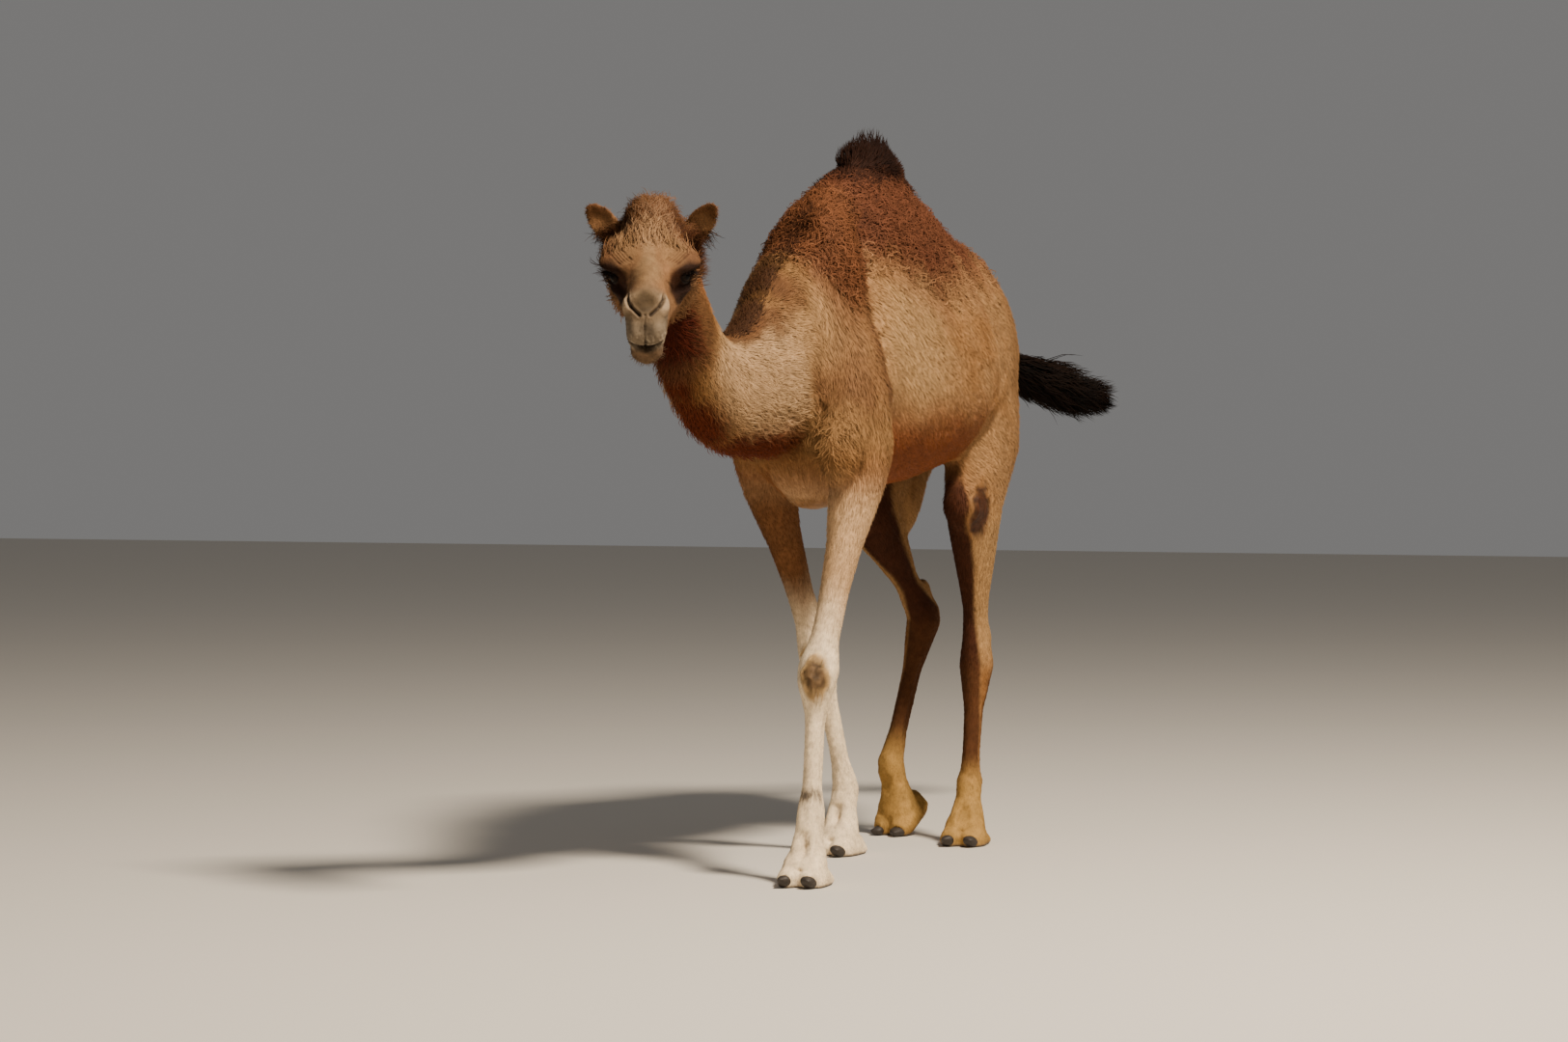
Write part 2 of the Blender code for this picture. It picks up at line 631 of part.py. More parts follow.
def make_room(thing, neighbour):
    """Cut a thing back so that a thin gap is left all round its neighbour."""
    cutter = neighbour.copy()
    cutter.data = neighbour.data.copy()
    bpy.context.scene.collection.objects.link(cutter)
    grow = cutter.modifiers.new("gap", "DISPLACE")
    grow.strength = GAP
    grow.mid_level = 0
    apply_modifiers(cutter)
    boolean(thing, cutter, "DIFFERENCE")
    bpy.data.objects.remove(cutter)


FINISHES = {                # name ending, finish, sRGB colour, roughness
    "eye": ("dark_eye", "1a120c", 0.1),
    "nail": ("horn", "3a332c", 0.5),
    "tuft": ("black_hair", "2a1a14", 0.8),
    "hump": ("brown_wool", "6e3f22", 0.9),
    "chest_pad": ("callus", "4a3a2c", 0.8),
    "foreleg": ("pale_coat", "c9ac84", 0.85),
    "": ("tan_coat", "b48a5c", 0.85),
}


def finish(thing):
    """Give a part the finish that its name asks for, and smooth shading over round forms."""
    key = next(key for key in FINISHES if key in thing.name)
    thing.data.materials.clear()
    thing.data.materials.append(material(*FINISHES[key]))
    thing.data.shade_smooth()
    thing.data.set_sharp_from_angle(angle=math.radians(40))


def material(name, colour, roughness):
    """A plain finish; colour is sRGB hex."""
    finish = bpy.data.materials.get(name)
    if finish is None:
        finish = bpy.data.materials.new(name)
        finish.use_nodes = True
        surface = finish.node_tree.nodes["Principled BSDF"]
        levels = [int(colour[i:i + 2], 16) / 255 for i in (0, 2, 4)]
        surface.inputs["Base Color"].default_value = (*[level ** 2.2 for level in levels], 1)
        surface.inputs["Roughness"].default_value = roughness
    return finish


# ------------------------------------------------------------------ build

def make_body():
    """Every mass of the flesh, melted into one skin and thinned."""
    torso = [make_trunk(), make_neck()] + make_breast()
    for side, fore, hind in ((1, FORE_LEFT, HIND_LEFT), (-1, FORE_RIGHT, HIND_RIGHT)):
        torso.extend(make_shoulder(side, fore))
        torso.extend(make_haunch(side, hind))
    masses = [blend("torso", torso, TORSO_VOXEL, 40), make_head()]
    masses += make_tuft() + make_leg_masses() + make_tail_masses()
    body = blend("body", masses, BODY_VOXEL, 8)
    return thin_out(body)


def stand_over_origin(things, cutters):
    """Move everything so that the middle of the camel's floor plan is at the origin."""
    points = np.array([vert.co for thing in things for vert in thing.data.vertices])
    middle_point = (points.min(axis=0) + points.max(axis=0)) / 2
    shift = Matrix.Translation((-middle_point[0], -middle_point[1], 0))
    for thing in things + cutters:
        thing.data.transform(shift)


def put_in_collection(name, things):
    group = bpy.data.collections.new(name)
    bpy.context.scene.collection.children.link(group)
    for thing in things:
        for old in thing.users_collection:
            old.objects.unlink(thing)
        group.objects.link(thing)


def main():
    clear_scene()
    body = make_body()
    cutters = [floor_slab(), make_cutters()]
    for cutter in cutters:
        boolean(body, cutter, "DIFFERENCE")
    parts = name_pieces(split_loose(body))
    head = parts["head"]
    for side in (-1, 1):
        eye = make_eye(side)
        make_room(head, eye)
        parts[eye.name] = eye
        ear = make_ear(side)
        make_room(ear, head)
        parts[ear.name] = ear
    for name, leg in LEGS.items():
        foot = parts[name + "_foot"]
        for nail in make_nails(name, leg):
            make_room(foot, nail)
            boolean(nail, cutters[0], "DIFFERENCE")
            parts[nail.name] = nail
    things = list(parts.values())
    for thing in things:
        finish(thing)
    stand_over_origin(things, cutters)
    put_in_collection(OBJECT_NAME, things)
    put_in_collection("cutters", cutters)
    for cutter in cutters:
        cutter.hide_render = True
        cutter.display_type = "WIRE"


if __name__ == "__main__":
    main()
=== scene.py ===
# %% [markdown]
# # A dromedary camel, life size
# A walking dromedary, as a still museum model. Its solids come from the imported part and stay
# as they are; this script gives them one seamless skin, a coat of hair, eyes, lids and nails.
# The box of the solids is taken first: only tips of hair may stand a few centimetres out of it.

# %% Load the solids and measure them
import math

import bmesh
import bpy
import numpy as np
from mathutils import Euler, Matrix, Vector
from mathutils.bvhtree import BVHTree


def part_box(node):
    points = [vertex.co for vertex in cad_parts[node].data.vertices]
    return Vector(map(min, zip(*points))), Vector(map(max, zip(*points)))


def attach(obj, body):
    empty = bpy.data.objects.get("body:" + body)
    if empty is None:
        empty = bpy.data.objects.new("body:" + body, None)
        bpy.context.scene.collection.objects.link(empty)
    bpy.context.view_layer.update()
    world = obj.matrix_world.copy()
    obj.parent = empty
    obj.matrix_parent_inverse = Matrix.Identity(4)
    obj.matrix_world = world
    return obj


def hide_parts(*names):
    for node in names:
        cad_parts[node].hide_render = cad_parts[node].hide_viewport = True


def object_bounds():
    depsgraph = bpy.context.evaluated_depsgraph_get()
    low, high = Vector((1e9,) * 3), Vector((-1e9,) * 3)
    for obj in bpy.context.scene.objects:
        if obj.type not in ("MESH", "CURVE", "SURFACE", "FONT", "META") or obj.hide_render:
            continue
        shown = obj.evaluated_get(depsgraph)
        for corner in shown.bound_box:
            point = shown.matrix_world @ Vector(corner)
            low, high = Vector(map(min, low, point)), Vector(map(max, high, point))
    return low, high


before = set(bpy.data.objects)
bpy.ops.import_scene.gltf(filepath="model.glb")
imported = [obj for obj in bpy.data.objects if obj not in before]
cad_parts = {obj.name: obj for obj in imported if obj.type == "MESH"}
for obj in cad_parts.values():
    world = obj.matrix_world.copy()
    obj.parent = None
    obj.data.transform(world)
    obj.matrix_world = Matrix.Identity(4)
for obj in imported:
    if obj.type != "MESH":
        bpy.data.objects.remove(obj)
CAD_BOX = [list(corner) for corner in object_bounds()]
scene = bpy.context.scene
print("solids fill", [round(v, 3) for v in CAD_BOX[0] + CAD_BOX[1]])

# %% [markdown]
# The two eyes fix where everything else is. The eyes' midpoint is known in the modeller's
# own drawing, where the ribs are centred on x = y = 0, so the difference shifts any measure of
# that drawing into this scene. The head has a frame of its own: nose along -Y, turned and tipped.

# %% Places to measure from
def box_centre(node):
    """The middle of a node's box."""
    low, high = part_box(node)
    return (Vector(low) + Vector(high)) / 2

HEAD_YAW = math.radians(22)
HEAD_PITCH = math.radians(28)
HEAD_SCALE = 1.04
EYES = (box_centre("eye_left") + box_centre("eye_right")) / 2
EYES_IN_DRAWING = Vector((0.0076, -1.4638, 1.5909))
EYES_IN_HEAD = Vector((0, -0.02, 0.004))
SHIFT = EYES - EYES_IN_DRAWING
HEAD_TURN = Euler((HEAD_PITCH, 0, HEAD_YAW)).to_matrix()
HEAD_AXES = np.array(HEAD_TURN)
HEAD_ORIGIN = np.array(EYES - HEAD_TURN @ (EYES_IN_HEAD * HEAD_SCALE))
print("eyes at", [round(v, 3) for v in EYES], "drawing shifted by", [round(v, 4) for v in SHIFT])

def to_head(points):
    """World points in the head's own frame."""
    return (points - HEAD_ORIGIN) @ HEAD_AXES / HEAD_SCALE

def from_head(points):
    """Points of the head's own frame, in the world."""
    return points * HEAD_SCALE @ HEAD_AXES.T + HEAD_ORIGIN

def drawn(points):
    """World points in the modeller's drawing."""
    return points - np.array(SHIFT)

# %% [markdown]
# ## Camera, floor and light
# A long lens from about ten metres keeps the legs straight. It looks from the camel's left front.

# %% Camera
CAMERA_FROM_EYES = Vector((4.2335, -8.6889, -0.4209))
CAMERA_TURN = math.radians(24)  # round from straight ahead of the camel
CAMERA_DIP = math.atan(0.0199)
CAMERA_LENS = 88.95  # millimetres
CAMERA_FILM = 36  # millimetres wide

camera = bpy.data.objects.new("camera", bpy.data.cameras.new("camera"))
scene.collection.objects.link(camera)
camera.data.lens = CAMERA_LENS
camera.data.sensor_width = CAMERA_FILM
camera.location = EYES + CAMERA_FROM_EYES
camera.rotation_euler = (math.radians(90) - CAMERA_DIP, 0, CAMERA_TURN)
scene.camera = camera
print("camera stands", round(camera.location.z, 2), "m high")

# %% [markdown]
# Colours are written as hex values and turned into light. Materials are built from nodes, by a
# helper that names each socket it fills.

# %% Colours and nodes
def linear(hex_colour):
    """An sRGB hex colour as the linear values that shaders take."""
    values = [int(hex_colour[i:i + 2], 16) / 255 for i in (0, 2, 4)]
    return np.array([v / 12.92 if v <= 0.04045 else ((v + 0.055) / 1.055) ** 2.4 for v in values])

def fill_sockets(node, values):
    """Give sockets their values, or link them to other nodes' sockets."""
    for name, value in values.items():
        socket = node.inputs[int(name[1:])] if name[1:].isdigit() else node.inputs[name.replace("_", " ")]
        if isinstance(value, bpy.types.NodeSocket):
            node.id_data.links.new(value, socket)
        else:
            socket.default_value = value
    return node

def add_node(tree, kind, settings=None, **values):
    """Add a node with its settings and with the values or links of its sockets."""
    node = tree.nodes.new(kind)
    for name, value in (settings or {}).items():
        setattr(node, name, value)
    return fill_sockets(node, values)

def new_material(name, **values):
    """A material with its node tree and its shader."""
    made = bpy.data.materials.new(name)
    made.use_nodes = True
    return made, made.node_tree, fill_sockets(made.node_tree.nodes["Principled BSDF"], values)

print("the key light's colour is", [round(float(v), 2) for v in linear("fff0dc")])

# %% [markdown]
# The floor is only there for the camel to stand on, and is no part of it.

# %% Floor
FLOOR_HALF = 30

def add_object(name, shape):
    """Turn a bmesh into a finished object at the origin."""
    mesh = bpy.data.meshes.new(name)
    shape.to_mesh(mesh)
    shape.free()
    thing = bpy.data.objects.new(name, mesh)
    scene.collection.objects.link(thing)
    return thing

shape = bmesh.new()
bmesh.ops.create_grid(shape, x_segments=1, y_segments=1, size=FLOOR_HALF)
floor = add_object("floor", shape)
plaster = new_material("matt_plaster_floor", Base_Color=(*linear("cfc8bd"), 1), Roughness=0.9)[0]
floor.data.materials.append(plaster)
print("floor reaches", FLOOR_HALF, "m each way")

# %% [markdown]
# One large key light stands high on the camel's left, where the sun would be, a weak one fills
# the chest, and a pale sky does the rest.

# %% Light
def area_light(name, place, aim, size, watts, hex_colour):
    """A square soft light at a place, aimed at a point."""
    lamp = bpy.data.lights.new(name, "AREA")
    lamp.size = size
    lamp.energy = watts
    lamp.color = linear(hex_colour)
    thing = bpy.data.objects.new(name, lamp)
    thing.location = place
    thing.rotation_euler = (Vector(aim) - Vector(place)).to_track_quat("-Z", "Y").to_euler()
    thing.visible_glossy = name == "key"  # so that only the key light glints in the eyes
    scene.collection.objects.link(thing)

area_light("key", (4.6, -2.6, 7.4), (0, -0.3, 1.2), 1.2, 1620, "fff0dc")
area_light("fill", (-1.0, -8.0, 2.6), (0, -0.5, 1.2), 4.0, 55, "f4eee6")
sky = bpy.data.worlds.new("sky")
scene.world = sky
sky.use_nodes = True
fill_sockets(sky.node_tree.nodes["Background"], {"Color": (*linear("e6e4e2"), 1), "Strength": 0.24})

# %% [markdown]
# ## The skin
# On the animal one skin runs over everything, so one skin replaces every solid of flesh. The
# solids' copies are first grown by less than a millimetre, which closes the thin cuts between
# them, and then melted together by a voxel remesh. Smoothing takes the facets off. The skin ends
# up below the solids' surface by the depth of the coat, because the solids reach to the hair tips.
# The eyeballs are melted in too, so that there is skin over them for the lids to be cut from.

# %% Melt the flesh into one skin
LEGS = ("foreleg_left", "foreleg_right", "hindleg_left", "hindleg_right")
FLESH = ["head", "neck_upper", "neck_lower", "trunk", "hump", "chest_pad", "tail_dock"]
FLESH += ["ear_left", "ear_right"] + [leg + part for leg in LEGS for part in ("_upper", "_cannon", "_foot")]
SEAM_GROWTH = 0.0009
SKIN_VOXEL = 0.0045
SAME_PLACE = 0.00002

def apply_modifiers(thing):
    """Replace a mesh by what its modifiers make of it."""
    graph = bpy.context.evaluated_depsgraph_get()
    mesh = bpy.data.meshes.new_from_object(thing.evaluated_get(graph))
    thing.modifiers.clear()
    thing.data = mesh

def read_rows(collection, name, width, kind=np.float32):
    """One property of everything in a mesh's collection, as rows of an array."""
    flat = np.empty(len(collection) * width, kind)
    collection.foreach_get(name, flat)
    return flat.reshape(-1, width)

def get_points(thing):
    """Vertex places of a mesh."""
    return read_rows(thing.data.vertices, "co", 3).astype(float)

def get_normals(thing):
    """Vertex normals of a mesh."""
    return read_rows(thing.data.vertex_normals, "vector", 3).astype(float)

def set_points(thing, points):
    """Move the vertices of a mesh."""
    thing.data.vertices.foreach_set("co", points.astype(np.float32).ravel())
    thing.data.update()

melt = bmesh.new()
for node in FLESH + ["eye_left", "eye_right"]:
    solid = bmesh.new()
    solid.from_mesh(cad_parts[node].data)
    bmesh.ops.remove_doubles(solid, verts=solid.verts, dist=SAME_PLACE)
    solid.normal_update()
    for vert in solid.verts:
        vert.co += vert.normal * SEAM_GROWTH
    grown = bpy.data.meshes.new(node)
    solid.to_mesh(grown)
    solid.free()
    melt.from_mesh(grown)
    bpy.data.meshes.remove(grown)
skin = add_object("skin", melt)
remesh = skin.modifiers.new("melt", "REMESH")
remesh.mode = "VOXEL"
remesh.voxel_size = SKIN_VOXEL
apply_modifiers(skin)
print("melted skin has", len(skin.data.vertices), "points")

# %% [markdown]
# Smoothing is strong on the body, where the facets are large, and light on the face, ears and
# feet. The modifier's vertex group holds how much each place takes.

# %% Smooth the facets away
GROUP_STEPS = 8

def row_length(rows):
    """Length of each row."""
    return np.linalg.norm(rows, axis=1)

def unit_rows(rows):
    """The rows made one long."""
    return rows / np.maximum(row_length(rows), 1e-6)[:, None]

def ease(values, low, high):
    """0 below low, 1 above high, with a soft step between."""
    share = np.clip((values - low) / (high - low), 0, 1)
    return share * share * (3 - 2 * share)

def blend(first, second, share):
    """From first to second by a share."""
    return first * (1 - share) + second * share

def smooth_skin(weights, rounds):
    """Smooth the skin by weights between 0 and 1."""
    group = skin.vertex_groups.new(name="smooth")
    steps = np.round(np.clip(weights, 0, 1) * GROUP_STEPS).astype(int)
    for step in range(1, GROUP_STEPS + 1):
        group.add(np.nonzero(steps == step)[0].tolist(), step / GROUP_STEPS, "REPLACE")
    soften = skin.modifiers.new("soften", "SMOOTH")
    soften.factor = 0.5
    soften.iterations = rounds
    soften.vertex_group = group.name
    apply_modifiers(skin)
    skin.vertex_groups.clear()

def strip_loose_bubbles(thing):
    """Keep only the largest connected surface."""
    shape = bmesh.new()
    shape.from_mesh(thing.data)
    seen, groups = set(), []
    for start in shape.verts:
        if start in seen:
            continue
        group = [start]
        seen.add(start)
        for vert in group:
            for edge in vert.link_edges:
                other = edge.other_vert(vert)
                if other not in seen:
                    seen.add(other)
                    group.append(other)
        groups.append(group)
    for group in sorted(groups, key=len)[:-1]:
        bmesh.ops.delete(shape, geom=group, context="VERTS")
    shape.to_mesh(thing.data)
    shape.free()
    print("removed", len(groups) - 1, "bubbles")

strip_loose_bubbles(skin)
places = get_points(skin)
local = to_head(places)
head_weight = np.where(row_length(local) < 0.34, ease(local[:, 1], 0.1, 0.22) * 0.9 + 0.1, 1.0)
foot_weight = ease(places[:, 2], 0.05, 0.3) * 0.8 + 0.2
smooth_skin(np.minimum(head_weight, foot_weight), rounds=60)
smooth_skin(np.ones(len(places)), rounds=3)
print("skin smoothed")

# %% [markdown]
# ## Where things are on the body
# The coat changes length and colour from place to place. These measures say where a point is:
# how far down a leg, along the neck, or up the hump. Colour, hair length and relief all read them.

# %% Legs, neck and hump as measures
LEG_JOINTS = {  # hip or elbow, knee or hock, fetlock, and the middle of the sole
    "foreleg_left": ((0.185, -0.555, 1.08), (0.132, -0.705, 0.555), (0.126, -0.735, 0.185),
                     (0.126, -0.775, 0)),
    "foreleg_right": ((-0.2, -0.3, 1.08), (-0.132, -0.09, 0.57), (-0.096, 0.02, 0.19), (-0.1, -0.025, 0)),
    "hindleg_left": ((0.17, 0.345, 1.0), (0.14, 0.445, 0.53), (0.13, 0.415, 0.165), (0.135, 0.37, 0)),
    "hindleg_right": ((-0.175, 0.385, 0.985), (-0.084, 0.59, 0.655), (-0.165, 0.53, 0.225), (-0.15, 0.57, 0)),
}
LEG_TOP = 1.12  # a point above this height belongs to no leg
LEG_REACH = 0.24  # nor does one further from a leg's line
NECK_LINE = ((0, -0.56, 1.44), (0, -0.73, 1.365), (-0.004, -0.88, 1.322), (-0.012, -1.01, 1.315),
             (-0.022, -1.12, 1.368), (-0.034, -1.195, 1.47), (-0.042, -1.255, 1.578), (-0.044, -1.312, 1.65))
FAR = 1e9  # metres, further than anything is

def along_line(points, line):
    """How far along a bent line each point is, its distance from it, and the line's direction there."""
    line = np.array(line)
    best = np.full(len(points), FAR)
    share = np.zeros(len(points))
    heading = np.zeros((len(points), 3))
    for i, (start, end) in enumerate(zip(line, line[1:])):
        step = end - start
        t = np.clip((points - start) @ step / (step @ step), 0, 1)
        away = row_length(points - (start + t[:, None] * step))
        closer = away < best
        best[closer] = away[closer]
        share[closer] = (i + t)[closer]
        heading[closer] = step / np.linalg.norm(step)
    return share, best, heading

def on_line(share, line):
    """The points of a bent line at the given shares of its steps."""
    line = np.array(line)
    return np.stack([np.interp(share, np.arange(len(line)), line[:, i]) for i in range(3)], axis=1)

def body_places(points):
    """All the measures for some world points, in a dictionary of arrays."""
    count = len(points)
    at, head = drawn(points), to_head(points)
    x, y, z = at.T
    found = {"x": x, "y": y, "z": z, "head": head, "leg": np.full(count, -1), "leg_share": np.zeros(count),
             "leg_heading": np.zeros((count, 3)), "leg_offset": np.zeros((count, 3))}
    nearest = np.full(count, FAR)
    for i, leg in enumerate(LEGS):
        share, away, heading = along_line(at, LEG_JOINTS[leg])
        mine = (away < nearest) & (z < LEG_TOP) & (away < LEG_REACH)
        nearest[mine] = away[mine]
        found["leg"][mine] = i
        found["leg_share"][mine] = share[mine]
        found["leg_heading"][mine] = heading[mine]
        found["leg_offset"][mine] = (at - on_line(share, LEG_JOINTS[leg]))[mine]
    share, away, heading = along_line(at, NECK_LINE)
    offset = at - on_line(share, NECK_LINE)
    up = unit_rows(np.array([0, 0, 1]) - heading * heading[:, 2:])
    found["neck_share"] = share / (len(NECK_LINE) - 1)
    found["neck_heading"] = heading
    found["neck_under"] = -(offset * up).sum(axis=1) / np.maximum(row_length(offset), 0.01)
    found["on_neck"] = ease(-y, 0.62, 0.76) * (1 - ease(-z, -1.1, -1.02))
    depth = row_length(head * (1, 0.72, 1) - (0, -0.02, 0))
    back = head[:, 1] + 0.35 * np.minimum(head[:, 2], 0)
    found["on_head"] = (1 - ease(back, 0.06, 0.14)) * (1 - ease(depth, 0.27, 0.34)) * ease(-y, 1.12, 1.22)
    found["on_ear"] = (ease(np.abs(head[:, 0]), 0.072, 0.088) * ease(head[:, 1], 0.035, 0.055)
                       * ease(head[:, 2], 0.052, 0.066) * (depth < 0.3))
    found["tail"] = ease(y, 0.86, 0.9)
    return found

where = body_places(get_points(skin))
print("points on legs", int((where["leg"] >= 0).sum()), "on the head", int((where["on_head"] > 0.5).sum()))

# %% [markdown]
# ## Share out the detail
# A face needs points two millimetres apart and a flank does not. The skin is thinned, all but the
# head, and then the head's edges are split once more, so that lids and nostrils can be cut in.

# %% Thin the body, refine the head
BODY_FACES = 112000
group = skin.vertex_groups.new(name="keep")
group.add(np.nonzero(where["on_head"] > 0.3)[0].tolist(), 1.0, "REPLACE")
thin = skin.modifiers.new("thin", "DECIMATE")
thin.ratio = BODY_FACES / (2 * len(skin.data.polygons))
thin.vertex_group = group.name
thin.invert_vertex_group = True
apply_modifiers(skin)
skin.vertex_groups.clear()

shape = bmesh.new()
shape.from_mesh(skin.data)
marked = to_head(get_points(skin))
face_zone = (marked[:, 1] < 0.035) & (np.abs(marked[:, 0]) < 0.16) & (row_length(marked) < 0.3)
shape.verts.ensure_lookup_table()
fine_edges = [edge for edge in shape.edges if all(face_zone[vert.index] for vert in edge.verts)]
bmesh.ops.subdivide_edges(shape, edges=fine_edges, cuts=1, use_grid_fill=True)
bmesh.ops.triangulate(shape, faces=[face for face in shape.faces if len(face.verts) > 4])
shape.to_mesh(skin.data)
shape.free()
skin.data.shade_smooth()
print("skin has", sum(len(face.vertices) - 2 for face in skin.data.polygons), "triangles")

# %% [markdown]
# ## Relief in the skin
# Two small tools shape the skin. A swelling pushes the points inside a soft ellipsoid. A crease
# follows a path laid on the surface, sinks a groove along it and can raise a lip on both sides.

# %% Tools for relief
def swell(points, frame_points, centre, radii, push):
    """Add a push, in the frame's own axes, to the points inside a soft ellipsoid."""
    reach = row_length((frame_points - np.array(centre)) / np.array(radii))
    return points + np.exp(-reach ** 2)[:, None] * np.array(push)

def crease(points, normals, frame_points, path, width, depth, lip=0.0, squash=(1, 1, 1)):
    """Sink a groove along a path; a lip stands up beside it. Also returns how deep each point lies."""
    away = along_line(frame_points * squash, np.array(path) * squash)[1] / width
    groove = np.exp(-away ** 2)
    ridge = np.exp(-((away - 2.1) / 0.9) ** 2)
    return points - normals * (groove * depth - ridge * lip)[:, None], groove

def mirrored(path, side):
    """A path given for the left side, on either side."""
    return [(x * side, y, z) for x, y, z in path]

# %% [markdown]
# The muzzle has two nostrils that close to slits, a split upper lip of two soft lobes and a loose
# lower lip. The brow is a shelf with fine folds over it, and the eye sits deep below.

# %% Shape the face
NOSTRIL = ((0.0455, -0.178, 0.027), (0.0425, -0.19, 0.0195), (0.033, -0.208, 0.011),
           (0.0135, -0.2255, -0.001))
NOSTRIL_MOUTH = ((0.044, -0.183, 0.0235), (0.0355, -0.203, 0.0135))
PHILTRUM = ((0.0, -0.228, -0.002), (0.0, -0.2375, -0.026), (0.0, -0.239, -0.078))
MOUTH = ((0.0, -0.238, -0.086), (0.018, -0.238, -0.083), (0.033, -0.236, -0.074), (0.045, -0.212, -0.07),
         (0.051, -0.175, -0.078), (0.056, -0.13, -0.082))
SIDE_FORMS = (  # middle, radii and push, on the left
    ((0.023, -0.238, -0.048), (0.018, 0.02, 0.026), (0.001, -0.007, 0.0)),  # lobe of the upper lip
    ((0.046, -0.196, 0.0), (0.012, 0.022, 0.018), (0.005, -0.003, 0.0)),  # wing of the nostril
    ((0.03, -0.196, 0.03), (0.018, 0.018, 0.01), (0.0, -0.004, 0.005)),  # rim above the slit
    ((0.092, -0.02, 0.034), (0.03, 0.034, 0.014), (0.008, -0.01, -0.003)),  # edge of the brow
    ((0.06, -0.048, 0.03), (0.022, 0.022, 0.02), (0.002, -0.004, 0.004)),  # inner end of the brow
    ((0.084, -0.03, -0.032), (0.024, 0.034, 0.01), (0.006, -0.003, 0.0)),  # pouch under the eye
    ((0.062, -0.06, -0.018), (0.016, 0.03, 0.016), (-0.007, 0.002, 0.0)),  # tear hollow
    ((0.066, -0.072, -0.06), (0.02, 0.05, 0.012), (0.006, 0.0, 0.0)),  # cheek bone's lower edge
    ((0.062, -0.08, -0.092), (0.024, 0.05, 0.014), (-0.006, 0.0, 0.0)),  # hollow above the jaw
    ((0.086, 0.075, -0.04), (0.02, 0.03, 0.07), (0.005, 0.0, 0.0)),  # angle of the jaw
    ((0.03, -0.212, -0.112), (0.022, 0.022, 0.016), (0.004, -0.004, -0.002)),  # loose lower lip
)
MIDDLE_FORMS = (
    ((0, -0.11, 0.06), (0.034, 0.075, 0.03), (0, 0, 0.004)),  # bridge of the nose
    ((0, -0.214, -0.01), (0.014, 0.018, 0.016), (0, -0.004, 0.002)),  # skin between the nostrils
)
OPENINGS = (  # path, width, depth, lip, squash, and a power that spreads the painted shade inside
    (NOSTRIL, 0.003, 0.009, 0.001, (1, 0.3, 1), 1),
    (NOSTRIL_MOUTH, 0.005, 0.008, 0, (1, 0.3, 1), 1),
    (MOUTH[:3], 0.0058, 0.014, 0.001, (1, 0.6, 1), 0.6),
    (MOUTH[2:], 0.0036, 0.007, 0.0012, (1, 1, 1), 0.8),
)
BROW_FOLD = ((0.094, -0.019, 0.061), (0.077, -0.044, 0.053), (0.056, -0.062, 0.041))
BROW_STEP = ((-0.0066, 0.0006, 0.0024), (-0.0062, 0.0008, 0.0026), (-0.0054, 0.0015, 0.0036))
CHEEK_FOLD = ((0.05, -0.12, 0.034), (0.058, -0.08, -0.01))
CHEEK_STEP = ((-0.006, 0.012, 0), (0, 0.012, 0))

points = get_points(skin)
head_points = moved = to_head(points)
in_face = ((head_points[:, 1] < 0.16) & (row_length(head_points) < 0.32))[:, None]
for side in (-1, 1):
    for centre, radii, push in SIDE_FORMS:
        centre, push = mirrored((centre, push), side)
        moved = swell(moved, head_points, centre, radii, push)
for form in MIDDLE_FORMS:
    moved = swell(moved, head_points, *form)
points = np.where(in_face, from_head(moved), points)
set_points(skin, points)
print("forms of the face move", round(float(row_length(moved - head_points).max() * 1000), 1), "mm")

# %% [markdown]
# Nostrils, mouth and the split of the lip are grooves. How deep a point lies in one is kept, as
# its share of the painted shade inside, and the same goes for the folds of the brow, which get
# painted shade in their creases.

# %% Cut the face's grooves
normals = get_normals(skin) @ HEAD_AXES
head_points = moved = to_head(points)
opening_shade, folds = np.zeros(len(points)), np.zeros(len(points))
for side in (-1, 1):
    for path, width, depth, lip, squash, power in OPENINGS:
        moved, groove = crease(moved, normals, head_points, mirrored(path, side), width, depth, lip, squash)
        opening_shade = np.maximum(opening_shade, groove ** power)
    for fold in range(5):
        path = mirrored(np.array(BROW_FOLD) + np.array(BROW_STEP) * fold, side)
        moved, groove = crease(moved, normals, head_points, path, 0.0023, 0.003, 0.0004)
        folds = np.maximum(folds, groove * (0.9 - 0.1 * fold))
    for fold in range(3):
        path = mirrored(np.array(CHEEK_FOLD) + np.array(CHEEK_STEP) * fold, side)
        moved = crease(moved, normals, head_points, path, 0.003, 0.0012, 0.0004)[0]
moved, groove = crease(moved, normals, head_points, PHILTRUM, 0.0026, 0.0065, 0.0006)
opening_shade = np.maximum(opening_shade, groove * 0.7)
points = np.where(in_face, from_head(moved), points)
set_points(skin, points)
print("deepest groove", round(float(np.abs(moved - head_points).max() * 1000), 1), "mm")

# %% [markdown]
# The lids are part of the skin. Seen from the middle of the eyeball, every direction is either
# inside the almond-shaped slit, where the skin dives behind the ball, or outside it, where the
# skin lies a lid's thickness off the ball. The upper lid hangs lower than a round eye would show.

# %% Wrap the lids round the eyes
EYE_RADIUS = 0.022
LID = 0.0026
SLIT_HALF = 1.04  # half the slit's width, as an angle
SLIT_UP, SLIT_DOWN = 0.68, 0.66
SOCKET_DEPTH = 0.005
EYE_CENTRES = {side: np.array(box_centre("eye_" + word)) for side, word in ((1, "left"), (-1, "right"))}

def eye_axes(side):
    """Outward, forward and upward directions of an eye, in the world."""
    outward = (HEAD_TURN @ Vector((0.82 * side, -0.57, 0.0))).normalized()
    upward = HEAD_TURN @ Vector((0.1 * side, 0.34, 0.94))
    forward = upward.cross(outward).normalized() * side
    return np.array([outward, forward, outward.cross(forward) * side])

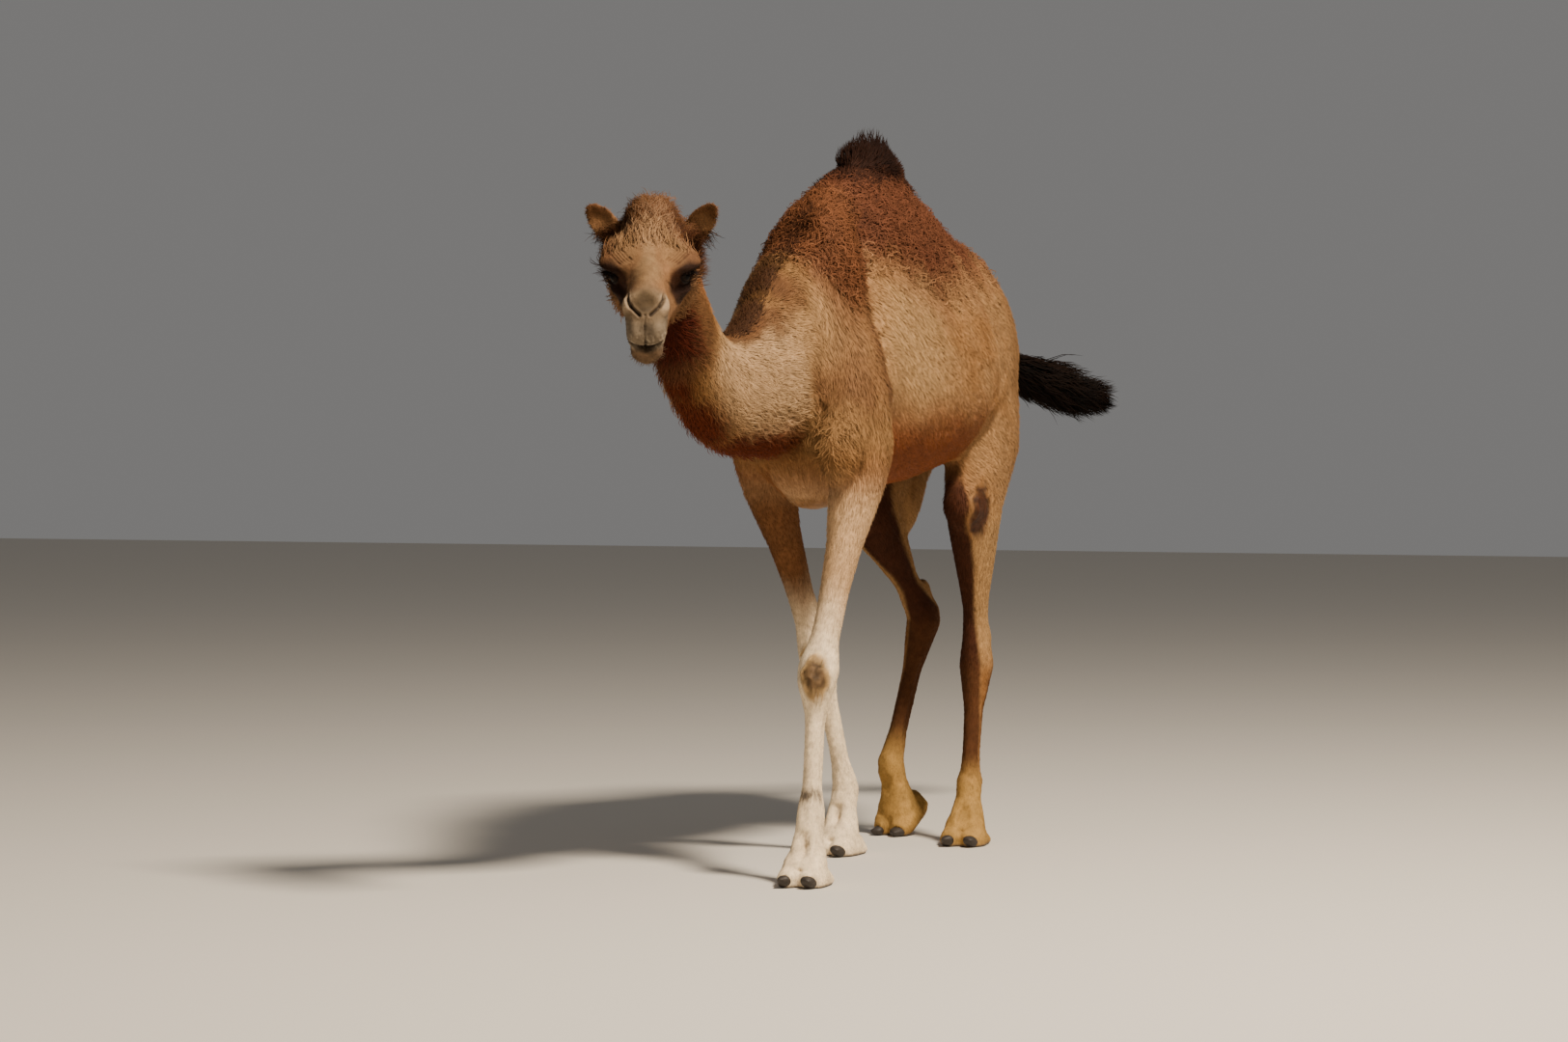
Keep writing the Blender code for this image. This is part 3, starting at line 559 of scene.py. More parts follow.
def slit(across, upward):
    """Below 1 inside the opening of the lids, in angles seen from the middle of the eye."""
    round_share = np.sqrt(np.clip(1 - (across / SLIT_HALF) ** 2, 0, 1)) + 0.001
    reach = np.where(upward > 0, SLIT_UP, SLIT_DOWN) * round_share
    return np.abs(upward) / reach + np.where(np.abs(across) > SLIT_HALF, 9, 0)

lid_edge = np.zeros(len(points))
for side in (-1, 1):
    axes, centre = eye_axes(side), EYE_CENTRES[side]
    away = (points - centre) @ axes.T
    distance = row_length(away)
    unit = unit_rows(away)
    near_eye = (distance < EYE_RADIUS * 2.1) & (unit[:, 0] > -0.25)
    opening = slit(np.arctan2(unit[:, 1], unit[:, 0]), np.arcsin(np.clip(unit[:, 2], -1, 1)))
    goal = blend(EYE_RADIUS + LID, EYE_RADIUS - SOCKET_DEPTH, 1 - ease(opening, 0.8, 1.08))
    hold = 1 - ease(distance, EYE_RADIUS * 1.16, EYE_RADIUS * 1.9)
    new = np.where((distance < goal) & (opening >= 1.08), goal, blend(distance, goal, hold))
    new = np.where(near_eye, new, distance)
    points = centre + (unit * new[:, None]) @ axes
    rim = np.exp(-((opening - 1.1) / 0.22) ** 2) * near_eye * hold
    lid_edge = np.maximum(lid_edge, rim)
set_points(skin, points)
print("lids wrapped,", int((lid_edge > 0.5).sum()), "points on their edges")

# %% [markdown]
# The body's own relief: a valley behind the shoulder where it meets the ribs, folds at the elbow
# and before the thigh, and ribs that barely show. Most of it is only a few millimetres deep.

# %% Fold the body
SHOULDER_VALLEY = ((0.09, -0.33, 1.86), (0.136, -0.413, 1.748), (0.186, -0.449, 1.588), (0.22, -0.463, 1.483),
                   (0.25, -0.472, 1.378), (0.24, -0.42, 1.223))
NECK_FOLD = ((0.07, -0.622, 1.645), (0.103, -0.69, 1.534), (0.113, -0.719, 1.426), (0.114, -0.709, 1.32),
             (0.109, -0.684, 1.256), (0.09, -0.695, 1.202))
ELBOW_FOLD = ((0.133, -0.674, 1.275), (0.127, -0.681, 1.213), (0.136, -0.692, 1.16), (0.138, -0.69, 1.11))
HAUNCH_FOLD = ((0.192, 0.429, 1.604), (0.209, 0.468, 1.547), (0.23, 0.461, 1.452), (0.262, 0.352, 1.368),
               (0.275, 0.242, 1.3))
FLANK_FOLD = ((0.25, 0.19, 1.36), (0.245, 0.225, 1.24), (0.225, 0.24, 1.12), (0.2, 0.235, 1.04))
FOLDS = (  # path, how far a far leg moves it back, width, depth and lip
    (SHOULDER_VALLEY, 1, 0.05, 0.014, 0.004), (SHOULDER_VALLEY, 1, 0.012, 0.006, 0.005),
    (ELBOW_FOLD, 3, 0.011, 0.011, 0.003), (FLANK_FOLD, 0, 0.038, 0.009, 0.002),
    (NECK_FOLD, 0, 0.018, 0.007, 0.003), (HAUNCH_FOLD, 0, 0.016, 0.008, 0.004))
FIRST_RIB = ((0.25, -0.28, 1.56), (0.3, -0.25, 1.38), (0.27, -0.23, 1.2))
RIBS, RIB_STEP = 8, 0.075
points = get_points(skin)
normals = get_normals(skin)
at = drawn(points)
for side, shift in ((1, 0.0), (-1, 0.06)):
    cuts = [(mirrored(np.array(path) + (0, shift * times, 0), side), *cut) for path, times, *cut in FOLDS]
    for rib in range(RIBS):
        cuts.append((mirrored(np.array(FIRST_RIB) + (0, RIB_STEP * rib, 0), side), 0.018, 0.0035, 0.0012))
    for cut in cuts:
        points = crease(points, normals, at, *cut)[0]
where = body_places(points)
ripple = np.sin(at[:, 2] * 190 + 5 * np.sin(at[:, 0] * 60)) * np.sin(at[:, 1] * 110 + at[:, 2] * 40)
skirt = where["on_neck"] * (1 - where["on_head"]) * ease(0.2 - np.abs(where["neck_share"] - 0.7), 0, 0.2)
points = points + normals * (ripple * skirt * 0.0012)[:, None]
print("cut", len(cuts), "folds on each side")

# %% [markdown]
# A kneeling camel rests on pads of callus. They stand a little proud, and cracks ring their middle.

# %% Raise the pads
KNEES = [LEG_JOINTS[leg][1] for leg in LEGS[:2]]
PADS = (  # middle, half width and half height
        ((KNEES[0][0] + 0.014, KNEES[0][1] - 0.046, 0.552), 0.05, 0.08),
        ((KNEES[1][0] + 0.004, KNEES[1][1] - 0.05, 0.556), 0.046, 0.078),
        ((0.224, 0.262, 0.972), 0.062, 0.13), ((-0.224, 0.3, 0.952), 0.062, 0.13))
pad, pad_core, ridges = (np.zeros(len(points)) for _ in range(3))
for centre, half_width, half_height in PADS:
    reach = row_length((at - np.array(centre)) / (half_width, half_width, half_height))
    reach = reach + 0.045 * np.sin(at[:, 2] * 90 + at[:, 1] * 60)
    pad = np.maximum(pad, 1 - ease(reach, 0.68, 0.92))
    pad_core = np.maximum(pad_core, 1 - ease(reach + 0.05 * np.sin(at[:, 2] * 210), 0.46, 0.74))
    wrinkles = np.sin(reach * 21 + np.sin(at[:, 2] * 130))
    wrinkles += 0.6 * np.sin(at[:, 2] * 380 + 4 * np.sin(at[:, 0] * 90))
    ridges += (reach < 1.3) * wrinkles
chest = row_length((at - (0, -0.43, 1.005)) / (0.085, 0.115, 0.035))
pad = np.maximum(pad, 1 - ease(chest, 0.8, 1.15))
rough = np.sin(at[:, 2] * 420 + 3 * np.sin(at[:, 0] * 300)) * 0.5
rough += np.sin(at[:, 0] * 510 + at[:, 1] * 370) * 0.5
points = points + normals * (pad * (0.005 + 0.0018 * ridges + 0.0009 * rough))[:, None]
print(int((pad > 0.5).sum()), "points on callused pads")

# %% [markdown]
# Each foot is cleft between its two toes, and two tendons run down every cannon. Knee, fetlock,
# sole and nails say where they lie.

# %% Cut the feet and tendons
for leg in LEGS:
    knee, fetlock, foot = (np.array(place) for place in LEG_JOINTS[leg][1:])
    nails = [drawn(np.array(box_centre(leg + "_nail_" + word))) for word in ("left", "right")]
    between = (nails[0] + nails[1]) / 2
    across = (nails[0] - nails[1]) / np.linalg.norm(nails[0] - nails[1])
    ahead = (between - foot) * (1, 1, 0)
    ahead /= np.linalg.norm(ahead)
    cleft = (between + (0, 0, -0.02), foot + ahead * 0.085 + (0, 0, 0.06),
             fetlock + ahead * 0.034 - (0, 0, 0.055))
    pastern = (fetlock + ahead * 0.03, fetlock + ahead * 0.02 - (0, 0, 0.03))
    cuts = [(cleft, 0.012, 0.02, 0.003), (pastern, 0.01, 0.003, 0.003)]
    for side in (-1, 1):
        tendon = [blend(knee, fetlock, t) + across * side * 0.021 - ahead * 0.003 for t in (0.22, 0.55, 0.92)]
        toe = [fetlock + across * side * 0.02 + ahead * 0.02 - (0, 0, 0.03),
               foot + across * side * 0.052 + ahead * 0.055 + (0, 0, 0.055)]
        cuts += [(tendon, 0.0075, 0.0055, 0.002), (toe, 0.01, -0.004, 0.0)]
    for cut in cuts:
        points = crease(points, normals, at, *cut)[0]
set_points(skin, points)
print("relief reaches", round(float(row_length(points - at - np.array(SHIFT)).max() * 1000), 1), "mm")

# %% [markdown]
# ## Depth of the coat
# Hair length is one function of place. It sinks the skin below the solids, and it sets how long
# each tuft of the short coat is. On the hump and the tail the solids stand for loose hair alone,
# so there the skin drops to the flesh inside.

# %% Hair length
HUMP_CREST = ((-0.34, 1.872), (-0.2, 1.925), (-0.05, 1.955), (0.08, 1.955), (0.2, 1.915), (0.33, 1.845))
FRONT_WOOL_EDGE = ((-0.9, 1.72), (-0.75, 1.71), (-0.69, 1.69), (-0.64, 1.655), (-0.6, 1.62), (-0.52, 1.58),
                   (-0.45, 1.55), (-0.35, 1.52))
REAR_WOOL_EDGE = ((-0.42, 1.77), (-0.399, 1.707), (-0.36, 1.672), (-0.315, 1.65), (-0.211, 1.635),
                  (-0.051, 1.62), (0.125, 1.65), (0.3, 1.68), (0.441, 1.685), (0.6, 1.69), (0.75, 1.76))

def on_curve(values, curve):
    """Read a table of two columns at values of the first."""
    return np.interp(values, *np.array(curve).T)

def behind_shoulder(found):
    """Metres behind the valley that runs down the back edge of the shoulder."""
    return found["y"] - on_curve(found["z"], [(z, y) for _, y, z in SHOULDER_VALLEY[::-1]])

def wool_share(found):
    """1 on the curly wool of hump, withers and shoulder top, fading down the flank."""
    x, y, z = (found[axis] for axis in "xyz")
    behind = ease(behind_shoulder(found), -0.006, 0.012)
    edge = blend(on_curve(y, FRONT_WOOL_EDGE), on_curve(y, REAR_WOOL_EDGE), behind)
    edge = edge + 0.022 * np.sin(y * 17) + 0.016 * np.sin(y * 41 + x * 12) + 0.01 * np.sin(y * 97 + z * 60)
    share = ease(z, edge - 0.06, edge + 0.05) * ease(y, -0.9, -0.74) * (1 - ease(y, 0.5, 0.66))
    return share * (1 - found["on_head"]) * (z > 1.3)

def hair_length(found):
    """Length of hair in metres for the measured places."""
    z, on_leg = found["z"], found["leg"] >= 0
    back, up = found["head"].T[1:]
    length = blend(0.022, 0.04, wool_share(found))
    length = np.where(on_leg, 0.012 - 0.006 * ease(found["leg_share"], 0.2, 1.2), length)
    length = np.where(on_leg & (z > 0.88), 0.012 + 0.01 * ease(z, 0.88, 1.12), length)
    length = blend(length, 0.024, found["on_neck"])
    face = 0.006 + 0.016 * ease(back, 0.02, 0.13) + 0.006 * ease(up, 0.05, 0.11) * ease(back, -0.02, 0.05)
    return blend(length, face, found["on_head"])

print("the crest is", max(height for y, height in HUMP_CREST), "m high")

# %% [markdown]
# The skin sinks by a third of the hair's length. It stays where it is at the eyes and the soles.

# %% Sink the skin
SINK_SHARE = 0.34  # of the hair's length
EAR_SINK = 0.0008
SKIN_LOWEST = 0.0003  # all skin and horn stays above the floor
places, normals = get_points(skin), get_normals(skin)
where = body_places(places)
haired = np.interp(where["head"][:, 1], (-0.26, -0.16, -0.1), (0, 0, 1))
haired = np.clip(haired + (1 - where["on_head"]), 0, 1)
near_eye = np.minimum(*[row_length(places - EYE_CENTRES[side]) for side in (-1, 1)])
sink = blend(hair_length(where) * SINK_SHARE, EAR_SINK, where["on_ear"]) * (0.25 + 0.75 * haired)
sink = sink * ease(where["z"], 0.004, 0.05) * ease(near_eye, EYE_RADIUS + 0.002, EYE_RADIUS + 0.02)
places = places - normals * sink[:, None]
at = drawn(places)
over = np.maximum(at[:, 2] - on_curve(at[:, 1], HUMP_CREST), 0) * ease(0.42 - np.abs(at[:, 1]), 0, 0.1)
places[:, 2] -= over * 0.85 * ease(at[:, 2], 1.8, 1.86)
set_points(skin, places)
print("skin lies", round(float(sink.mean() * 1000), 1), "mm deep on average")
smooth_skin(ease(at[:, 2], 1.8, 1.88) * (np.abs(at[:, 1]) < 0.45), rounds=40)
smooth_skin(body_places(get_points(skin))["on_ear"], rounds=14)
places = get_points(skin)
places[:, 2] = np.maximum(places[:, 2], SKIN_LOWEST)
set_points(skin, places)

# %% [markdown]
# ## Markings and painted shade
# One function of place gives the colour of the skin and of the coat's roots, so both carry the
# same markings: dark brown wool on hump and withers, golden flanks, a pale neck with a dark red
# throat, cream forelegs, brown hind cannons, a dark ring round each eye, a grey bridge to the nose.
# Some layers paint shade as well: round the eyes under the brow, on the brow's outer ends, in front
# of the shoulder valley, inside the hind legs and on the upper right foreleg.

# %% Colours of the body
def waves(points, length, seed):
    """Smooth irregular waves between about -1 and 1, of a given length in metres."""
    chance = np.random.default_rng(seed)
    total = np.zeros(len(points))
    for _ in range(7):
        heading = chance.normal(size=3)
        heading *= chance.uniform(0.7, 1.4) * 2 * math.pi / length / np.linalg.norm(heading)
        total += np.sin(points @ heading + chance.uniform(0, 6.3))
    return total / 4

def blob(points, centre, radii):
    """1 in the middle of an ellipsoid, easing to 0 at its surface."""
    return 1 - ease(row_length((points - np.array(centre)) / np.array(radii)), 0.45, 1.0)

def one_sided(points):
    """Points of both sides, all on the left."""
    return np.column_stack([np.abs(points[:, 0]), points[:, 1:]])

def behind_neck(found):
    """0 on the neck, 1 behind the fold where it meets the shoulder."""
    x, y = (on_curve(found["z"], [(place[2], place[i]) for place in NECK_FOLD[::-1]]) for i in (0, 1))
    return ease(0.8 * (np.abs(found["x"]) - x) + 0.6 * (found["y"] - y), -0.012, 0.016)

def body_layers(found):
    """Layers of colour for trunk, shoulder and hump."""
    at, y, z, patchy = (found[key] for key in ("at", "y", "z", "patchy"))
    x, wool, before, shoulder = (found[key] for key in ("out", "wool", "before", "shoulder"))
    groove = along_line(at, SHOULDER_VALLEY)[1]
    return [
        (waves(found["points"], 0.2, 7) * 0.5, "825930"),
        (ease(-z + 0.04 * patchy, -1.34, -1.16) * (1 - ease(y, 0.16, 0.28)), "713d1d"),
        (ease(y, 0.42, 0.62) * ease(z, 0.9, 1.2), "7d5c3b"),
        (before, "8a6741"),
        (shoulder * ease(z + 0.06 * patchy, 1.2, 1.36) * (0.85 + 0.6 * patchy), "704f32"),
        ((1 - before) * blob(at, (0.26, -0.28, 1.5), (0.1, 0.26, 0.34)) * 0.6, "a08159"),
        ((1 - before) * blob(at, (0.28, 0.08, 1.47), (0.1, 0.24, 0.1)) * (0.5 + 0.8 * patchy), "855d36"),
        (wool_share({**found, "z": z + 0.1}) * ease(patchy, -0.35, 0.35) * 0.6, "7a5438"),
        (wool * 0.95, "4f2c1d"),
        (before * wool * 0.8, "643e26"),
        # painted shade: a dark band just in front of the shoulder valley, above the elbow
        (shoulder * np.exp(-((groove - 0.028) / 0.02) ** 2) * ease(z, 1.1, 1.25) * 0.6, "452a17"),
        (np.exp(-(groove / 0.01) ** 2) * ease(z, 1.12, 1.25), "c9a26e"),
        (ease(z + 0.04 * patchy, 1.895, 1.96) * ease(0.3 - np.abs(y + 0.02), 0, 0.1), "1c0c06"),
        (ease(-y, 0.5, 0.62) * ease(z + 0.3 * y, 1.36, 1.46) * ease(0.016 - x, 0, 0.02), "200d06"),
    ]

# %% [markdown]
# The neck is pale at its sides, dark red underneath and brown on top and near the head.

# %% Colours of the neck
def neck_layers(found):
    """Layers of colour for the neck."""
    at, y, patchy, wool = (found[key] for key in ("at", "y", "patchy", "wool"))
    neck = found["on_neck"] * (1 - found["shoulder"])
    along, under = found["neck_share"], found["neck_under"]
    pale = blob(at, (0.095, -0.92, 1.355), (0.18, 0.36, 0.24)) * (1.2 + 0.4 * patchy)
    return [
        (neck * (1 - wool), "835e34"),
        (neck * ease(y + 0.1 * patchy, -0.86, -0.7) * (1 - wool), "8f6b41"),
        (neck * np.minimum(pale, 0.9), "a48562"),
        ((1 - wool) * blob(at, (0.13, -0.7, 1.5), (0.13, 0.15, 0.17)) * 0.75, "9a7852"),
        (neck * ease(under + 0.12 * patchy, 0.72, 0.96), "542411"),
        (neck * ease(-under + 0.25 * patchy, 0.8, 0.98), "5e3f26"),
        (neck * ease(along + 0.08 * patchy, 0.66, 0.86), "754c2e"),
        (neck * ease(along, 0.62, 0.75) * ease(under + 0.3 * patchy, 0.5, 0.9), "4a2211"),
    ]

# %% [markdown]
# The forelegs are cream below a brown elbow, with painted shade on the upper right one. The hind
# legs are brown, darker behind, and darker inside with dark hair and painted shade.

# %% Colours of the legs
# how far round each hind leg its dark inner side, dark hair and painted shade, reaches at each height
DARK_SIDE = ((0.2, 0.02), (0.36, 0.015), (0.546, -0.008), (0.79, -0.024), (1.07, -0.07))

def leg_layers(found):
    """Layers of colour for the legs: cream in front, brown behind, with some painted shade."""
    at, y, z, patchy = (found[key] for key in ("at", "y", "z", "patchy"))
    leg, down, offset = found["leg"], found["leg_share"], found["leg_offset"]
    fore, hind = (leg >= 0) & (leg < 2), leg >= 2
    inward = -0.7 * (offset[:, 0] * np.sign(found["x"]) + offset[:, 1])
    inner_hair_and_shade = ease(inward + on_curve(z, DARK_SIDE), -0.006, 0.01)
    back_edge = y - np.where(leg == 2, 0.43, 0.55)
    uneven = down + 0.1 * patchy
    smudge = blob(at, (0.13, -0.757, 0.238), (0.06, 0.06, 0.024))
    return [
        (fore * ease(-z, -1.14, -0.98), "bc9870"),
        # painted shade: the upper right foreleg, on the side away from the key light, is darker
        ((leg == 1) * ease(-z, -1.14, -0.98), "684428"),
        (fore * ease(uneven, 0.45, 1.0), "ebd3af"),
        (fore * smudge * ease(waves(found["points"], 0.03, 8), -0.9, -0.1) * 0.9, "4e443b"),
        (hind * ease(-z, -1.04, -0.9), "9e7a50"),
        # dark hair and painted shade on the inner side of the hind legs
        (hind * inner_hair_and_shade * ease(-z, -1.22, -1.02) * ease(z, 0.12, 0.22), "3f2214"),
        (hind * ease(uneven, 0.85, 1.15) * (1 - 0.85 * inner_hair_and_shade * ease(z, 0.14, 0.24)), "865b31"),
        (hind * ease(uneven, 0.9, 1.2) * ease(back_edge, 0.0, 0.03), "4a2a13"),
        (hind * ease(down, 1.7, 2.05), "a37e44"),
    ]

# %% [markdown]
# The face is brown, with a dark ring round each eye that is partly painted shade under the brow,
# painted shade on the brow's outer ends, a grey bridge to the nose, pale nostrils and dark hair
# behind the cheeks.

# %% Colours of the head
EAR_MIDDLE = (0.116, 0.088, 0.074)

def head_layers(found):
    """Layers of colour for the head and ears."""
    patchy, along, under = (found[key] for key in ("patchy", "neck_share", "neck_under"))
    face = one_sided(found["head"])
    out, back, up = face.T
    on_head = found["on_head"]

    def patch(centre, radii, tone, strength=1, most=1):
        return np.minimum(on_head * blob(face, centre, radii) * strength, most), tone

    temple = ease(out + 0.5 * back + 0.01 * patchy, 0.048, 0.072)
    lip = on_head * ease(-back, 0.19, 0.215)
    return [
        (on_head, "765538"),
        (on_head * ease(back, -0.04, 0.03) * ease(up, 0.03, 0.08), "73563e"),
        patch((0, 0, 0.1), (0.06, 0.06, 0.05), "8e6e4e", 0.7),  # poll
        patch((0.06, -0.03, 0.07), (0.05, 0.06, 0.04), "785b3c", 0.7),  # brow
        patch((0, -0.105, 0.05), (0.046, 0.085, 0.05), "775c3f"),  # bridge of the nose
        patch((0, -0.045, 0.072), (0.024, 0.05, 0.035), "846a4b", 0.5),
        # painted shade on the brow's outer end
        patch((0.108, -0.022, 0.044), (0.034, 0.044, 0.034), "553620", 0.6),  # outer end of the brow
        (on_head * ease(back, 0.03, 0.07) * temple * ease(up, -0.05, 0.03), "2e170b"),
        (on_head * ease(back + 0.015 * patchy, 0.06, 0.092) * 0.7, "4a2f18"),
        (on_head * ease(-back, 0.14, 0.19), "66543f"),
        patch((0.046, -0.192, 0.012), (0.02, 0.04, 0.034), "907a60"),  # nostrils
        patch((0, -0.205, 0.022), (0.034, 0.048, 0.036), "463826"),
        (lip * ease(-up, 0.0, 0.03), "6c5e4c"),
        (lip * ease(-up, 0.03, 0.06) * ease(waves(found["points"], 0.01, 12), 0.2, 0.6) * 0.45, "a8977f"),
        (on_head * ease(-up, 0.08, 0.1) * ease(-back, 0.1, 0.17), "5f4a36"),
        # dark area round the eye: dark lids, a tear stain below, and painted shade cast by the brow
        patch((0.088, -0.04, 0.004), (0.066, 0.08, 0.054), "1f0e06", 1.6, 0.97),  # ring round the eye
        patch((0.078, -0.052, -0.024), (0.036, 0.044, 0.05), "241209", 1.3, 0.95),
        patch((0.062, -0.06, 0.01), (0.022, 0.034, 0.034), "4a2a14", 0.4),
        (found["on_neck"] * ease(along, 0.58, 0.72) * ease(under + 0.3 * patchy, 0.35, 0.85)
         * (1 - on_head * ease(0.02 - back, 0, 0.05)) * ease(-up + 0.3 * back, 0.09, 0.13), "43190b"),
        (found["on_ear"], "8a6442"),
        (found["on_ear"] * ease(row_length(face - EAR_MIDDLE), 0.028, 0.052) * 0.7, "4a2a14"),
    ]

# %% [markdown]
# The layers go on one over another, like coats of thin paint, and slow waves vary the tone.

# %% Colour by place
def coat_colour(found, points):
    """The colour of the coat at measured places, as linear values."""
    x, y, z = np.abs(found["x"]), found["y"], found["z"]
    before = ease(-behind_shoulder(found), -0.004, 0.01) * ease(z, 1.0, 1.2)
    found = {**found, "points": points, "out": x, "at": np.stack([x, y, z], axis=1),
             "wool": wool_share(found), "before": before, "shoulder": before * behind_neck(found),
             "patchy": waves(points, 0.16, 5) * 0.5 + waves(points, 0.05, 6) * 0.25}
    colour = np.tile(linear("94704a"), (len(points), 1))
    parts = (body_layers, neck_layers, leg_layers, head_layers)
    layers = [layer for part in parts for layer in part(found)]
    for share, tone in layers + [(ease(y, 0.84, 0.92), "2a150b")]:  # the tail comes last
        colour = blend(colour, linear(tone), np.clip(share, 0, 1)[:, None])
    return colour * (1 + 0.1 * waves(points, 0.09, 3) + 0.07 * waves(points, 0.025, 4))[:, None]

# %% [markdown]
# Bare parts keep their own colours: black lid edges, grey nose skin and lips, yellow-brown callus
# with a dark middle, and a soft grey sole. Painted shade darkens the insides of nostrils, mouth
# and lip split, and the creases of the brow's folds.

# %% Paint the skin
places = get_points(skin)
where = body_places(places)
colours = coat_colour(where, places)
# painted shade in the brow's folds and inside nostrils, mouth and lip split
BARE_COLOURS_AND_SHADE = ((folds, "3a200e"), (opening_shade, "150a06"), (lid_edge * 1.3, "120a07"),
                (ease(0.012 - where["z"], 0, 0.01), "4c443c"))
for share, tone in BARE_COLOURS_AND_SHADE:
    colours = blend(colours, linear(tone), np.clip(share, 0, 1)[:, None])
high = (where["z"] > 0.75)[:, None]
pad_rim = np.where(high, linear("7c5833"), linear("a8895c"))
pad_heart = np.where(high, linear("3a2112"), linear("5c4730"))
pad_colour = blend(pad_rim, pad_heart, pad_core[:, None])
pad_colour = pad_colour * (1 + 0.35 * waves(places, 0.011, 9) + 0.22 * ridges)[:, None]
colours = np.clip(blend(colours, pad_colour, np.clip(pad, 0, 1)[:, None]), 0, 1)
back, up = where["head"].T[1:]
nose_skin = where["on_head"] * ease(-back, 0.205, 0.225) * ease(up, -0.012, 0.004)
bare_skin = np.clip(opening_shade + lid_edge + pad + nose_skin + (where["z"] < 0.006), 0, 1)

def paint(thing, colours, bare):
    """Give a mesh its colours and the share of bare skin, point by point."""
    rows = np.column_stack([np.clip(colours, 0, 1), np.ones(len(colours))]).astype(np.float32)
    thing.data.color_attributes.new("Coat", "FLOAT_COLOR", "POINT").data.foreach_set("color", rows.ravel())
    thing.data.attributes.new("Bare", "FLOAT", "POINT").data.foreach_set("value", bare.astype(np.float32))

paint(skin, colours, bare_skin)
bpy.context.view_layer.objects.active = skin
skin.select_set(True)
bpy.ops.object.mode_set(mode="EDIT")
bpy.ops.mesh.select_all(action="SELECT")
bpy.ops.uv.smart_project(angle_limit=1.15, island_margin=0.002)
bpy.ops.object.mode_set(mode="OBJECT")
skin.data.uv_layers.active.name = "OFBake"
print("skin painted,", int((bare_skin > 0.5).sum()), "bare points")

# %% [markdown]
# ## Materials
# Skin under the coat shows fine short hair as a bump and as streaks of tone; bare skin is finely
# pebbled and a little shinier. Hair is rough with a soft sheen, and its tone varies from lock to lock.

# %% Skin and hair
def coat_pattern(tree, shader):
    """Base colour from the painted markings, varied by streaks the width of a lock."""
    markings = add_node(tree, "ShaderNodeAttribute", {"attribute_name": "Coat"})
    place = add_node(tree, "ShaderNodeTexCoord")
    locks = add_node(tree, "ShaderNodeTexNoise", Vector=place.outputs["Object"], Scale=55.0, Detail=4.0,
                     Roughness=0.6)
    tone = add_node(tree, "ShaderNodeMapRange", Value=locks.outputs["Fac"], From_Min=0.3, From_Max=0.7,
                    To_Min=0.8, To_Max=1.18)
    vary = add_node(tree, "ShaderNodeVectorMath", {"operation": "SCALE"}, Vector=markings.outputs["Color"],
                    Scale=tone.outputs["Result"])
    fill_sockets(shader, {"Base Color": vary.outputs["Vector"]})
    return place

SKIN, tree, shader = new_material("camel_skin_with_short_hair", Specular_IOR_Level=0.12, Sheen_Weight=0.02,
                                  Sheen_Roughness=0.5)
place = coat_pattern(tree, shader)
bare = add_node(tree, "ShaderNodeAttribute", {"attribute_name": "Bare"})
rough = add_node(tree, "ShaderNodeMapRange", Value=bare.outputs["Fac"], To_Min=0.78, To_Max=0.42)
hairs = add_node(tree, "ShaderNodeTexNoise", Vector=place.outputs["Object"], Scale=420.0, Detail=3.0)
pebbles = add_node(tree, "ShaderNodeTexVoronoi", {"feature": "F1"}, Vector=place.outputs["Object"],
                   Scale=520.0)
relief = add_node(tree, "ShaderNodeMix", {"data_type": "FLOAT"}, Factor=bare.outputs["Fac"],
                  A=hairs.outputs["Fac"], B=pebbles.outputs["Distance"])
bump = add_node(tree, "ShaderNodeBump", Strength=0.55, Distance=0.0016, Height=relief.outputs[0])
fill_sockets(shader, {"Roughness": rough.outputs["Result"], "Normal": bump.outputs["Normal"]})
skin.data.materials.clear()
skin.data.materials.append(SKIN)

HAIR, tree, shader = new_material("camel_hair", Roughness=0.7, Specular_IOR_Level=0.08, Sheen_Weight=0.01,
                                  Sheen_Roughness=0.4, Sheen_Tint=(*linear("c9a677"), 1))
coat_pattern(tree, shader)
print("materials made for skin and hair")

# %% [markdown]
# ## The coat
# Camel hair is modelled as many thin solid tufts. Each is a slim three-sided spike whose ridge
# faces outward. Short coat is single straight spikes; wool and long hair have more steps, so they
# can bend and curl. A tuft carries its root's colour, darker at the root and lighter at the tip,
# and all its points share one small patch of the skin's unwrap, at its root.

# %% Roots on the skin
skin.data.calc_loop_triangles()
TRI_POINTS = read_rows(skin.data.loop_triangles, "vertices", 3, np.int32)
TRI_CORNERS = read_rows(skin.data.loop_triangles, "loops", 3, np.int32)
SKIN_UV = read_rows(skin.data.uv_layers["OFBake"].data, "uv", 2)
SKIN_POINTS, SKIN_NORMALS = get_points(skin), get_normals(skin)
SKIN_PLACES = body_places(SKIN_POINTS)
print("roots can stand on", len(TRI_POINTS), "triangles")

